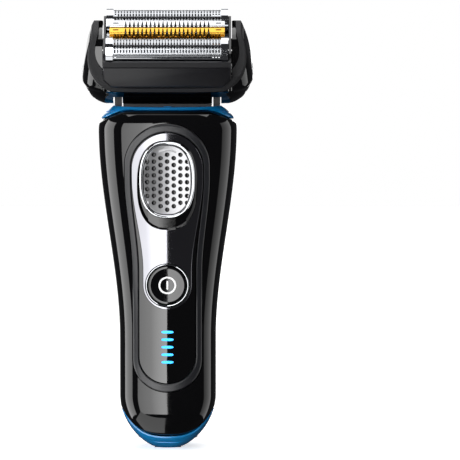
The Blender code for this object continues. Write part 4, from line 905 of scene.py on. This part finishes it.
plate = drape("thumb_plate", lock_oval(PLATE_MARGIN), (LOCK_Z - 4 * MM, LOCK_Z + 4 * MM),
              PLATE_INSET, 0.9 * MM, 0.15 * MM, 14)
for vertex in plate.data.vertices:
    if vertex.co.y < on_front(vertex.co.x, vertex.co.z, 0):
        vertex.co.y += thumb_dish(vertex.co.x, vertex.co.z)
slot_edge = [(3.4, 10.95), (2.2, 11.45), (1.1, 11.72), (0, 11.8), (-1.1, 11.72), (-2.2, 11.45),
             (-3.4, 10.95)]
slot = [(x * MM, LOCK_Z + z * MM) for x, z in slot_edge]
slot += [(x * MM, LOCK_Z + (z - 0.9) * MM) for x, z in reversed(slot_edge)]
finger_slot = prism("finger_slot", slot, "y", -REACH, on_front(0, LOCK_Z, 0.3 * MM))
pits = []
for column, count, middle in ((0, 9, 0), (1, 8, 0), (2, 8, 0.5), (3, 7, 0)):
    for x in {-column * COLUMN_PITCH, column * COLUMN_PITCH}:
        for row in range(count):
            z = DIMPLE_MIDDLE_Z + (row + middle - (count - 1) / 2) * ROW_PITCH
            pits.append((x, z))
pits.sort()


def pit_bodies(name, radius, depth, lift):
    """One mesh of shallow round cups, each square to the plate."""
    points = []
    faces = []
    for x, z in pits:
        top = on_front(x, z, PLATE_INSET) + thumb_dish(x, z)
        lean = (on_front(x + MM, z, PLATE_INSET) - on_front(x - MM, z, PLATE_INSET)) / (2 * MM)
        first = len(points)
        for share, deep in ((1.0, -lift), (1.0, 0.0), (0.86, depth * 0.6), (0.5, depth)):
            for px, pz in circle(radius * share, (0, 0), PIT_SIDES):
                points.append((x + px, top + lean * px + deep, z + pz))
        for low in range(first, first + 3 * PIT_SIDES, PIT_SIDES):
            high = low + PIT_SIDES
            for i in range(PIT_SIDES):
                j = (i + 1) % PIT_SIDES
                faces.append([low + i, low + j, high + j, high + i])
        faces.append([first + i for i in range(PIT_SIDES)])
        faces.append([first + 3 * PIT_SIDES + i for i in range(PIT_SIDES)])
    return body(name, points, faces)


def in_pit(x, y, z):
    """Whether a point of the plate lies below its face and away from its edge."""
    sunk = y - on_front(x, z, PLATE_INSET) - thumb_dish(x, z)
    away = math.hypot(x / (LOCK_HALF_WIDTH * MM), (z - LOCK_Z) / (LOCK_HALF_HEIGHT * MM))
    return away < 0.87 and 0.05 * MM < sunk < 0.5 * MM


cut(plate, finger_slot, pit_bodies("pits", DIMPLE_RADIUS, 0.42 * MM, 0.4 * MM))
place(plate, blasted_nickel, "lock_slide", "nickel", "lock_plate")
# The pits below the plate's face get the black: painted shade in the hollows.
paint_part(plate, dimple_painted_shade, in_pit)
repaint(moulded_pbt, "lock_carrier")
repaint(turned_steel, "lock_bolt")


# Long-hair trimmer
# A black ABS slide rides in the rear channel and is pushed up by its thumb ridges.
# It carries a fixed steel comb and, behind it, the toothed blade that the motor drives.

TRIMMER_Z = 107 * MM
TRIMMER_HALF_HEIGHT = 13 * MM
TRIMMER_REAR_Y = 21.08 * MM
TRIMMER_COVER = 1.4 * MM
TRIMMER_ROUNDING = 1.2 * MM
RIDGE_PITCH = 2.2
RIDGE_HALF_WIDTH = 5.6 * MM
RIDGE_HALF_HEIGHT = 0.5 * MM


def slide_ring(y, margin):
    return [(x, y, z) for x, z in oval(TRIMMER_HALF_WIDTH - margin, TRIMMER_HALF_HEIGHT - margin,
                                       (0, TRIMMER_Z), 7)]


rings = [slide_ring(TRIMMER_FRONT_Y, 0.1 * MM),
         slide_ring(TRIMMER_REAR_Y - TRIMMER_ROUNDING, 0.05 * MM)]
for i in range(1, 7):
    angle = math.pi / 2 * i / 6
    rings.append(slide_ring(TRIMMER_REAR_Y - TRIMMER_ROUNDING * (1 - math.sin(angle)),
                            TRIMMER_ROUNDING * (1 - math.cos(angle)) + 0.05 * MM))
slide = loft("trimmer_shoe", rings)
tools = [block("pocket", (-REACH, 0, 112 * MM), (REACH, TRIMMER_REAR_Y - TRIMMER_COVER, 180 * MM))]
for i in range(5):
    z = TRIMMER_Z - TRIMMER_HALF_HEIGHT + (4 + RIDGE_PITCH * i) * MM
    ridge = oval(RIDGE_HALF_WIDTH, RIDGE_HALF_HEIGHT, (0, z + 0.45 * MM), 4, 48)
    tools.append(prism("ridge", ridge, "y", TRIMMER_REAR_Y - 0.5 * MM, REACH))
place(cut(slide, *tools), satin_black_abs, "trimmer_carriage", "satin_black", "trimmer_slide")
# Ground blade steel is bright, with its grinding lines across the teeth.
ground_blade_steel = finish(
    "ground_blade_steel", ("#a9acb0", "#c6c9cc"), (0.2, 0.34), 6 * MM,
    0.08 * MM, 0.004 * MM, (1, 1, 6), Metallic=1.0,
)
repaint(ground_blade_steel, "trimmer_comb", "trimmer_blade")


# Head frame
# The head is a gloss black ABS body: a round drum about the pivot under two tall side arms.
# The cassette drops into the open well between the arms.

HEAD_LEAN = 32
HEAD_TILT = 20
HEAD = Matrix.Translation((0, 0, PIVOT_Z)) @ Matrix.Rotation(math.radians(HEAD_LEAN), 4, "X")
HEAD_HALF_WIDTH = 32.22 * MM
HEAD_HALF_DEPTH = 14.2 * MM
HEAD_TOP = 19.5 * MM
SIDE_LEAN = 2.2
SIDE_CURL = 2.9
DRUM_RADIUS = 12.6 * MM
DRUM_WALL = 1.8 * MM
END_LENGTH = 10.3 * MM
END_SWEEP = 84
WELL_HALF_WIDTH = 24.2 * MM
SHELL_HALF_LENGTH = 21.8 * MM
BELT_WIDTH = 1.7 * MM
RIM_BASE = 1.8 * MM
RIM_RISE = 17 * MM
RIM_FRONT_MARGIN = 0.8 * MM
RIM_REAR_MARGIN = 1.5 * MM
EAR_ROOM = 0.4 * MM
RELEASE_HALF_DEPTH = 7 * MM
RELEASE_LOW = -8 * MM
RELEASE_HIGH = 5.5 * MM
RELEASE_RECESS_X = 27.5 * MM
PIN_END_X = 26.7 * MM


def head_form(name, inset=0.0):
    """The outer form of the head about its own pivot, moved inwards."""
    rings = []
    steps = 22
    for i in range(-steps, steps + 1):
        angle = math.radians(END_SWEEP) * abs(i) / steps
        reach = HEAD_HALF_WIDTH - END_LENGTH + END_LENGTH * math.sin(angle) - inset
        radius = max(DRUM_RADIUS * math.cos(angle) - inset, 0.5 * MM)
        x = math.copysign(reach, i) if i else 0
        rings.append([(x, y, z) for y, z in circle(radius, (0, 0), 96)])
    drum = loft(name, rings)
    levels = [(-3 * MM, 0.96, 0.86), (-1.4 * MM, 0.985, 0.95)]
    levels += [(HEAD_TOP * i / 16, 1, 1) for i in range(17)]
    rings = []
    for height, width_share, depth_share in levels:
        share = max(height, 0) / HEAD_TOP
        drawn_in = (SIDE_LEAN * share + SIDE_CURL * share**3) * MM
        half = (HEAD_HALF_WIDTH - drawn_in) * width_share - inset
        depth = HEAD_HALF_DEPTH * depth_share - inset
        rings.append([(x, y, height) for x, y in oval(half, depth, (0, 0), 4, 144)])
    return combine(drum, "UNION", loft("upper", rings))


def rim_height(y):
    """The edge of the head's open top: a long slope in front and a fuller curve behind."""
    if y < 0:
        share = min(1.0, -y / (HEAD_HALF_DEPTH - RIM_FRONT_MARGIN))
        return RIM_BASE + RIM_RISE * (1 - share * share)
    share = min(1.0, y / (HEAD_HALF_DEPTH - RIM_REAR_MARGIN))
    return RIM_BASE + RIM_RISE * (1 - share**3) ** (1 / 3)


def rim_curve(drop):
    steps = [HEAD_HALF_DEPTH * math.sin(math.pi / 2 * i / 40) for i in range(-40, 41)]
    curve = [(y, rim_height(y) - drop) for y in steps]
    return [(-REACH, RIM_BASE - drop)] + curve + [(REACH, RIM_BASE - drop)]


def rim_above(name, drop):
    return prism(name, rim_curve(drop) + [(REACH, REACH), (-REACH, REACH)], "x", -REACH, REACH)


def ear_sweep(side):
    """The space that a pivot ear sweeps through as the head tilts."""
    reach = HEAD_HALF_DEPTH + 3 * MM
    half = EAR_HALF + EAR_ROOM
    corners = []
    for lean, edge in ((HEAD_LEAN - HEAD_TILT, half), (HEAD_LEAN + HEAD_TILT, -half)):
        turn = math.radians(lean)
        near = (math.cos(turn) * edge, -math.sin(turn) * edge)
        corners += [near, (near[0] - math.sin(turn) * reach, near[1] - math.cos(turn) * reach)]
    turn = math.radians(HEAD_LEAN)
    middle = (-math.sin(turn) * reach * 1.2, -math.cos(turn) * reach * 1.2)
    outline = [corners[0], corners[1], middle, corners[3], corners[2]]
    return prism("ear_sweep", outline, "x",
                 *span(side, EAR_INNER - EAR_ROOM, EAR_OUTER + EAR_ROOM))


def release_area(side, gap, inner_x):
    """The block of space that a release button fills, with a gap all round."""
    low, high = span(side, inner_x, REACH)
    return block("release_area", (low, -RELEASE_HALF_DEPTH - gap, RELEASE_LOW - gap),
                 (high, RELEASE_HALF_DEPTH + gap, RELEASE_HIGH + gap))


def in_head(piece):
    """Turn a piece from the head's own frame to its place on the handle."""
    piece.data.transform(HEAD)
    return piece


cradle = head_form("head_cradle")
tools = [rim_above("rim", BELT_WIDTH + GAP),
         prism("drum_room", circle(DRUM_RADIUS - DRUM_WALL, (0, 0), 96), "x",
               -SHELL_HALF_LENGTH, SHELL_HALF_LENGTH),
         block("well", (-WELL_HALF_WIDTH, -REACH, RIM_BASE - BELT_WIDTH - 0.4 * MM),
               (WELL_HALF_WIDTH, REACH, REACH))]
for side in (-1, 1):
    tools += [ear_sweep(side), release_area(side, GAP, RELEASE_RECESS_X)]
tools.append(prism("bore", circle(PIN_BORE, (0, 0)), "x", -PIN_END_X, PIN_END_X))
cut(cradle, *tools)
place(in_head(cradle), piano_black_abs, "head", "piano_black", "head_frame")


# Head belt
# A matte elastomer band is moulded round the rim of the open top.
# It seals the head and takes the knocks, so its edges are soft.

BELT_THICKNESS = 1.8 * MM
ROOM_HALF_WIDTH = 24.2 * MM
ROOM_FOOT = 20.5 * MM
ROOM_LOW = 2.3 * MM
ROOM_CORNER = 5.7 * MM
DECK_HALF_DEPTH = 12.3 * MM

# The band is a dead dark grey beside the gloss of the frame.
matte_elastomer = finish(
    "matte_elastomer", ("#232325", "#2c2c2e"), (0.62, 0.74), 12 * MM, 0.2 * MM, 0.01 * MM, IOR=1.5,
)
band = head_form("rim_band")
below = rim_curve(BELT_WIDTH) + [(REACH, -REACH), (-REACH, -REACH)]
room = prism("cassette_room", [
    (-ROOM_HALF_WIDTH, ROOM_CORNER), (-ROOM_FOOT, ROOM_LOW), (ROOM_FOOT, ROOM_LOW),
    (ROOM_HALF_WIDTH, ROOM_CORNER), (ROOM_HALF_WIDTH, REACH), (-ROOM_HALF_WIDTH, REACH),
], "y", -REACH, REACH)
deck_room = block("deck_room", (-SHELL_HALF_LENGTH, -DECK_HALF_DEPTH, -REACH),
                  (SHELL_HALF_LENGTH, DECK_HALF_DEPTH, REACH))
cut(band, rim_above("above", 0.0), prism("below", below, "x", -REACH, REACH),
    head_form("band_inside", BELT_THICKNESS), deck_room, room)
place(in_head(band), matte_elastomer, "head", "satin_grey", "head_belt")


# Release buttons
# A gloss button on each flank of the head lets the cassette go when both are pressed.
# Three fine ribs on each give the fingertips a hold.

KEY_INNER_X = 29.62 * MM
GROOVE_BOTTOM_X = 31.9 * MM
GROOVE_HALF_WIDTH = 0.35

for side, side_name in ((-1, "left"), (1, "right")):
    button = head_form("release_key_" + side_name)
    combine(button, "INTERSECT", release_area(side, -0.02 * MM, KEY_INNER_X))
    low, high = span(side, GROOVE_BOTTOM_X, REACH)
    grooves = []
    for y in (-3.2, -1.1, 1.1, 3.2):
        grooves.append(block("groove", (low, (y - GROOVE_HALF_WIDTH) * MM, -6 * MM),
                             (high, (y + GROOVE_HALF_WIDTH) * MM, 4 * MM)))
    cut(button, *grooves)
    place(in_head(button), piano_black_abs, "release_" + side_name, "piano_black",
          "release_button_" + side_name)
    repaint(turned_steel, "release_spring_" + side_name)


# Motor, deck and drives
# A linear motor lies in the drum: a nylon tray with a copper coil.
# Its two acetal bridges swing opposite ways and reach the cutters through the deck.

# Enamelled winding wire is a glossy reddish copper with the pitch of its turns.
enamelled_copper = finish(
    "enamelled_copper", ("#9a4a26", "#b8602f"), (0.25, 0.4), 3 * MM,
    0.3 * MM, 0.03 * MM, (3, 1, 1), Metallic=1.0,
)
# Acetal is a milky white with a waxy sheen.
milled_acetal = finish(
    "milled_acetal", ("#cfcfca", "#dcdcd7"), (0.35, 0.48), 6 * MM,
    0.3 * MM, 0.006 * MM, IOR=1.48, Subsurface_Weight=0.1, Subsurface_Scale=0.001,
)
repaint(glass_filled_nylon, "motor_tray")
repaint(enamelled_copper, "motor_coil")
repaint(moulded_pbt, "head_deck")
repaint(milled_acetal, "front_drive_bridge", "rear_drive_bridge")
repaint(turned_steel, "front_cutter_spring", "rear_cutter_spring")


# Cassette frame
# The lift-out cassette is a satin black PBT box with a broad front panel and chamfered corners.
# A lip and a groove run along its top edge, under the foils.

CASSETTE_HALF_WIDTH = 23.9 * MM
CASSETTE_HALF_DEPTH = 14.98 * MM
CASSETTE_LOW = 2.6 * MM
CASSETTE_CHAMFER = 3.4 * MM
END_WALL_HIGH = 16.4 * MM
# Name, distance from the middle plane, and heights of each cut along the top edge, in millimetres.
EDGE_CUTS = (("wall_notch", 12, 14.4, 60), ("lip_groove", 14.55, 11.75, 12.05),
             ("lip_step", 14.75, 12.05, 60))

# The satin face holds a soft gradient and a faint texture.
satin_black_pbt = finish(
    "satin_black_pbt", ("#222225", "#2a2a2e"), (0.3, 0.38), 16 * MM,
    0.22 * MM, 0.005 * MM, IOR=1.55,
)


def cassette_ring(y, margin):
    width = CASSETTE_HALF_WIDTH - margin
    low = CASSETTE_LOW + margin
    foot = CASSETTE_HALF_WIDTH - CASSETTE_CHAMFER - margin * 0.4
    shoulder = low + CASSETTE_CHAMFER
    corner = [(-width, shoulder), (-width + 0.5 * MM, shoulder - 0.9 * MM)]
    corner += [(-foot - 0.9 * MM, low + 0.45 * MM), (-foot + 0.3 * MM, low)]
    outline = corner + [(-x, z) for x, z in reversed(corner)]
    outline += [(width, END_WALL_HIGH), (-width, END_WALL_HIGH)]
    return [(x, y, z) for x, z in outline]


rings = []
for side in (-1, 1):
    edge = [cassette_ring(side * (CASSETTE_HALF_DEPTH - depth * MM), margin * MM)
            for depth, margin in ((0, 0.75), (0.12, 0.4), (0.35, 0.12), (0.7, 0))]
    rings += edge if side < 0 else list(reversed(edge))
box = loft("cassette_box", rings)
wall_x = 23.1 * MM
wall_y = 14.2 * MM
tools = [block("room", (-wall_x, -wall_y, 0), (wall_x, wall_y, REACH))]
for side in (-1, 1):
    for name, depth, bottom, top in EDGE_CUTS:
        low, high = span(side, depth * MM, REACH)
        tools.append(block(name, (-REACH, low, bottom * MM), (REACH, high, top * MM)))
place(in_head(cut(box, *tools)), satin_black_pbt, "cassette", "satin_black", "cassette_frame")


# Foils
# Each outer foil is a thin electroformed nickel sheet bent to an arch and pierced all over.
# The piercings are drawn a little coarser than the real half millimetre, so that they show.

FOIL_OFFSET = 9.1 * MM
FOIL_AXIS = 15.9 * MM
FOIL_RADIUS = 4.4 * MM
FOIL_OUTER = FOIL_RADIUS - 0.02 * MM
FOIL_INNER = FOIL_RADIUS - 0.3 * MM
FOIL_HALF_LENGTH = 22.2 * MM
HOLE_PITCH = 1.11 * MM
HOLE_ROWS = 9
# Where a hole starts and ends in its cell, along the foil and round its arch.
HOLE_ALONG = (0, 0.24, 0.76, 1)
HOLE_ROUND = (0, 0.12, 0.88, 1)

# Electroformed nickel is silvery, bright and crisp-edged.
electroformed_nickel = finish(
    "electroformed_nickel", ("#a2a4a8", "#bdbfc2"), (0.16, 0.26), 7 * MM,
    0.1 * MM, 0.003 * MM, Metallic=1.0,
)
# The cutter's ground steel lamellae are coloured darker, a painted shade for where they are seen
# through the foil.
lamella_steel_painted_shade = finish(
    "lamella_steel_painted_shade", ("#3a3c3f", "#4a4c50"), (0.25, 0.4), 5 * MM,
    0.08 * MM, 0.004 * MM, Metallic=1.0,
)


def arch_point(x, turn, radius, side):
    return (x, side * FOIL_OFFSET - radius * math.cos(turn), FOIL_AXIS + radius * math.sin(turn))


def pierced_foil(name, side):
    """An arched sheet made of square cells, each with a slot through it."""
    columns = int(2 * FOIL_HALF_LENGTH / HOLE_PITCH)
    points = []
    faces = []

    def quad(*corners):
        first = len(points)
        points.extend(arch_point(x, turn, radius, side) for x, turn, radius in corners)
        faces.append([first, first + 1, first + 2, first + 3])

    def edge(near, far):
        """A strip of the sheet's thickness between two places along and round it."""
        quad((*near, FOIL_OUTER), (*far, FOIL_OUTER), (*far, FOIL_INNER), (*near, FOIL_INNER))

    def x_at(column, share):
        return -FOIL_HALF_LENGTH + (column + share) * HOLE_PITCH

    def turn_at(row, share):
        return math.pi * (row + share) / HOLE_ROWS

    for column in range(columns):
        for row in range(HOLE_ROWS):
            pierced = 2 <= column < columns - 2 and 1 <= row < HOLE_ROWS - 1
            grid = [[(x_at(column, a), turn_at(row, b)) for b in HOLE_ROUND] for a in HOLE_ALONG]
            for i in range(3):
                for j in range(3):
                    if pierced and i == 1 and j == 1:
                        continue
                    corners = (grid[i][j], grid[i + 1][j], grid[i + 1][j + 1], grid[i][j + 1])
                    for radius in (FOIL_OUTER, FOIL_INNER):
                        quad(*[(*corner, radius) for corner in corners])
            if pierced:
                loop = (grid[1][1], grid[2][1], grid[2][2], grid[1][2])
                for k in range(4):
                    edge(loop[k], loop[(k + 1) % 4])
    for column in range(columns):
        for a, b in zip(HOLE_ALONG, HOLE_ALONG[1:]):
            for turn in (0, math.pi):
                edge((x_at(column, a), turn), (x_at(column, b), turn))
    for x in (x_at(0, 0), x_at(columns, 0)):
        for row in range(HOLE_ROWS):
            for a, b in zip(HOLE_ROUND, HOLE_ROUND[1:]):
                edge((x, turn_at(row, a)), (x, turn_at(row, b)))
    return body(name, points, faces)


for side, row in ((-1, "front"), (1, "rear")):
    place(in_head(pierced_foil(row + "_shaving_foil", side)), electroformed_nickel,
          row + "_foil_float", "steel", row + "_foil")


# Foil frames and cutters
# A plated frame grips each foil, with a clip over each end, and floats in the cassette.
# Under the foil a block of ground steel lamellae swings from side to side.

CLIP_RADIUS = 5.0 * MM
CLIP_LENGTH = 2.6 * MM
CLIP_WALL = 0.3 * MM
FRAME_HALF_LENGTH = 22.8 * MM
FRAME_HALF_DEPTH = 4.45 * MM
FRAME_WALL = 0.8 * MM
FRAME_LOW = 12.4 * MM
FRAME_HOLE_HALF_LENGTH = 20.8 * MM


def arch_outline(radius, side, foot):
    outline = circle(radius, (side * FOIL_OFFSET, FOIL_AXIS), 49, 0, math.pi)
    return outline + [(side * FOIL_OFFSET - radius, foot), (side * FOIL_OFFSET + radius, foot)]


for side, row in ((-1, "front"), (1, "rear")):
    y = side * FOIL_OFFSET
    holder = block("foil_holder_" + row, (-FRAME_HALF_LENGTH, y - FRAME_HALF_DEPTH, FRAME_LOW),
                   (FRAME_HALF_LENGTH, y + FRAME_HALF_DEPTH, FOIL_AXIS - GAP))
    clips = []
    rooms = []
    for end in (-1, 1):
        ends = span(end, FRAME_HALF_LENGTH - CLIP_LENGTH, FRAME_HALF_LENGTH)
        clips.append(prism("clip", arch_outline(CLIP_RADIUS, side, FOIL_AXIS - MM), "x", *ends))
        ends = span(end, FRAME_HALF_LENGTH - CLIP_LENGTH - MM, FRAME_HALF_LENGTH - CLIP_WALL)
        outline = arch_outline(CLIP_RADIUS - CLIP_WALL, side, FOIL_AXIS - GAP)
        rooms.append(prism("clip_room", outline, "x", *ends))
    inner = FRAME_HALF_DEPTH - FRAME_WALL
    rooms.append(block("frame_hole", (-FRAME_HOLE_HALF_LENGTH, y - inner, 0),
                       (FRAME_HOLE_HALF_LENGTH, y + inner, FOIL_AXIS)))
    combine(holder, "UNION", *clips)
    cut(holder, *rooms)
    place(in_head(holder), chrome_plate, row + "_foil_float", "chrome", row + "_foil_frame")
    # The cutter block gets the darkened steel: painted shade under the foil.
    repaint(lamella_steel_painted_shade, row + "_cutter_block")


# Middle trimmers
# Two upturned steel channels with toothed slots lie between the foils, one of them gold-coated.
# Each hides a slotted blade and floats on its own.

GUARD_OFFSET = 2.15 * MM
GUARD_HALF_WIDTH = 1.83 * MM
GUARD_HALF_LENGTH = 21.5 * MM
GUARD_TOP = 20.2 * MM
GUARD_BOTTOM = 13.0 * MM
GUARD_WALL = 0.5 * MM
GUARD_ROUNDING = 0.7 * MM
TOOTH_PITCH = 1.55 * MM
TOOTH_COUNT = 21
TOOTH_FOOT = 0.56 * MM
TOOTH_TIP = 0.14 * MM
DASH_X = 19.2

# Titanium nitride gives the steel a deep yellow gold with bright edges.
titanium_nitride_gold = finish(
    "titanium_nitride_gold", ("#d09a35", "#e6b84f"), (0.16, 0.26), 8 * MM,
    0.12 * MM, 0.003 * MM, Metallic=1.0,
)
# Polished stainless steel is bright and neutral.
polished_stainless_steel = finish(
    "polished_stainless_steel", ("#c3c5c8", "#d8dadc"), (0.12, 0.22), 8 * MM,
    0.12 * MM, 0.003 * MM, Metallic=1.0,
)


def guard_section(y):
    """The channel's outside, seen from the end, with its top edges rounded."""
    half = GUARD_HALF_WIDTH
    outline = [(y - half, GUARD_BOTTOM), (y + half, GUARD_BOTTOM)]
    for centre, start in ((y + half - GUARD_ROUNDING, 0), (y - half + GUARD_ROUNDING, 90)):
        for i in range(7):
            angle = math.radians(start + 15 * i)
            outline.append((centre + GUARD_ROUNDING * math.cos(angle),
                            GUARD_TOP - GUARD_ROUNDING + GUARD_ROUNDING * math.sin(angle)))
    return outline


for side, row, material, slot_name in (
    (-1, "gold", titanium_nitride_gold, "gold"),
    (1, "silver", polished_stainless_steel, "steel"),
):
    y = side * GUARD_OFFSET
    guard = prism("trimmer_comb_" + row, guard_section(y), "x",
                  -GUARD_HALF_LENGTH, GUARD_HALF_LENGTH)
    inner = GUARD_HALF_WIDTH - GUARD_WALL
    end = GUARD_HALF_LENGTH - GUARD_WALL
    cut(guard, block("guard_room", (-end, y - inner, 0), (end, y + inner, GUARD_TOP - GUARD_WALL)))
    tools = []
    for i in range(TOOTH_COUNT):
        x = (i - (TOOTH_COUNT - 1) / 2) * TOOTH_PITCH
        gap = [(x - TOOTH_FOOT, y - 3 * MM), (x + TOOTH_FOOT, y - 3 * MM),
               (x + TOOTH_TIP, y + MM), (x - TOOTH_TIP, y + MM)]
        tools.append(prism("tooth_gap", gap, "z", GUARD_TOP - 1.9 * MM, REACH))
    for x in (-DASH_X, DASH_X):
        dash = oval(1.1 * MM, 0.35 * MM, (x * MM, y), 5, 32)
        tools.append(prism("dash", dash, "z", GUARD_TOP - 1.2 * MM, REACH))
    line = block("line", (-REACH, y - REACH, 16.2 * MM),
                 (REACH, y - GUARD_HALF_WIDTH + 0.12 * MM, 16.6 * MM))
    cut(guard, line, *tools)
    place(in_head(guard), material, row + "_float", slot_name, row + "_trimmer_guard")
    # The blade gets the same darkened steel: painted shade inside the channel.
    repaint(lamella_steel_painted_shade, row + "_trimmer_blade")


# Floor and lights
# A pale matte sheet lies under the shaver, and the studio behind it is plain and white.
# Soft panels out of the camera's view light it from the front left, both sides, behind and
# below, and one lamp hangs overhead.

# Matte card is nearly white with a slight tooth. It is lit from within to stay white, and it
# is hidden from reflections and bounced light, so that the black gloss stays black.
matte_card = finish(
    "matte_card", ("#f6f6f6", "#fafafa"), (0.85, 0.95), 60 * MM, 1.5 * MM, 0.01 * MM,
    Emission_Color=linear("#ffffff"), Emission_Strength=0.6,
)


def sheet(name, points, faces, material):
    mesh = bpy.data.meshes.new(name)
    mesh.from_pydata(points, [], faces)
    mesh.materials.append(material)
    made = bpy.data.objects.new(name, mesh)
    bpy.context.scene.collection.objects.link(made)
    mesh.shade_smooth()
    return made


edge = 0.9
corners = ((-edge, -edge, 0), (edge, -edge, 0), (edge, edge, 0), (-edge, edge, 0))
floor = sheet("floor_card", corners, [[0, 1, 2, 3]], matte_card)
floor.visible_glossy = False
floor.visible_diffuse = False


PANEL_STEPS = 24
PANEL_DISTANCE = 1.2


def glowing(name, pairs):
    """A light panel from pairs of points, each pair with its brightness, unseen by the camera."""
    glow = bpy.data.materials.new(name + "_glow")
    glow.use_nodes = True
    tree = glow.node_tree
    tree.nodes.clear()
    colour = add(tree, "ShaderNodeVertexColor", {"layer_name": "brightness"})
    light = add(tree, "ShaderNodeEmission", {}, {
        "Strength": 1.0, "Color": colour.outputs["Color"],
    })
    add(tree, "ShaderNodeOutputMaterial", {}, {"Surface": light.outputs["Emission"]})
    points = [point for *ends, _ in pairs for point in ends]
    faces = [[2 * i, 2 * i + 1, 2 * i + 3, 2 * i + 2] for i in range(len(pairs) - 1)]
    made = sheet(name, points, faces, glow)
    layer = made.data.color_attributes.new("brightness", "FLOAT_COLOR", "POINT")
    for i, shade in enumerate(layer.data):
        value = pairs[i // 2][2]
        shade.color = (value, value, value, 1)
    made.visible_camera = False
    made.visible_shadow = False


def curved_panel(name, start, stop, low, high, near, far):
    """A light panel round the shaver; its brightness runs from near to far along it."""
    pairs = []
    for i in range(PANEL_STEPS + 1):
        turn = math.radians(start + (stop - start) * i / PANEL_STEPS)
        x, y = math.sin(turn) * PANEL_DISTANCE, -math.cos(turn) * PANEL_DISTANCE
        pairs.append(((x, y, low), (x, y, high), near + (far - near) * i / PANEL_STEPS))
    glowing(name, pairs)


# Turns from the front in degrees, heights in metres, and the brightness at both ends.
curved_panel("front_left_panel", -0.8, -16, -0.9, 0.75, 4.8, 3.0)
curved_panel("left_panel", -16, -46, -0.9, 0.75, 3.0, 2.2)
curved_panel("far_left_panel", -66, -106, -0.9, 0.75, 2.2, 3.4)
curved_panel("right_panel", 70, 110, -0.9, 0.7, 0.5, 1.6)
UNDER_LEFT = -0.5
UNDER_WIDTH = 0.485
UNDER_FRONT = -0.5
UNDER_BACK = -0.06
UNDER_Z = -0.45
pairs = []
for i in range(PANEL_STEPS + 1):
    x = UNDER_LEFT + UNDER_WIDTH * i / PANEL_STEPS
    pairs.append(((x, UNDER_FRONT, UNDER_Z), (x, UNDER_BACK, UNDER_Z), 1.3))
glowing("under_panel", pairs)
curved_panel("rear_panel", 168, 204, -0.2, 0.75, 2.0, 1.4)


def lamp(name, place_at, aim, size, power):
    data = bpy.data.lights.new(name, "AREA")
    data.shape = "RECTANGLE"
    data.size, data.size_y = size
    data.energy = power
    made = bpy.data.objects.new(name, data)
    bpy.context.scene.collection.objects.link(made)
    made.location = place_at
    made.rotation_euler = (Vector(aim) - Vector(place_at)).to_track_quat("-Z", "Y").to_euler()


lamp("overhead", (0, 0.1, 1.1), (0, 0.05, 0), (1.3, 1.3), 11)

# The studio is white to the camera and dark grey to everything that it lights.
world = bpy.data.worlds.new("studio")
world.use_nodes = True
tree = world.node_tree
path = add(tree, "ShaderNodeLightPath")
seen = add(tree, "ShaderNodeMix", {"data_type": "RGBA"}, {
    0: path.outputs["Is Camera Ray"], 6: linear("#38383a"), 7: linear("#ffffff"),
})
tree.links.new(seen.outputs[2], tree.nodes["Background"].inputs["Color"])
bpy.context.scene.world = world
bpy.context.scene.view_settings.view_transform = "Standard"


# Camera
# It stands in front at a low angle with a long lens, a little to the right of the shaver.

CAMERA_X = 0.0235
CAMERA_AIM_Z = 0.0823
CAMERA_DISTANCE = 2.0
CAMERA_RISE = math.radians(6)
FRAME_WIDTH = 0.1736

camera_data = bpy.data.cameras.new("camera")
camera_data.lens = 36 * CAMERA_DISTANCE / FRAME_WIDTH
camera = bpy.data.objects.new("camera", camera_data)
bpy.context.scene.collection.objects.link(camera)
camera.location = (CAMERA_X, -CAMERA_DISTANCE * math.cos(CAMERA_RISE),
                   CAMERA_AIM_Z + CAMERA_DISTANCE * math.sin(CAMERA_RISE))
camera.rotation_euler = (math.pi / 2 - CAMERA_RISE, 0, 0)
bpy.context.scene.camera = camera
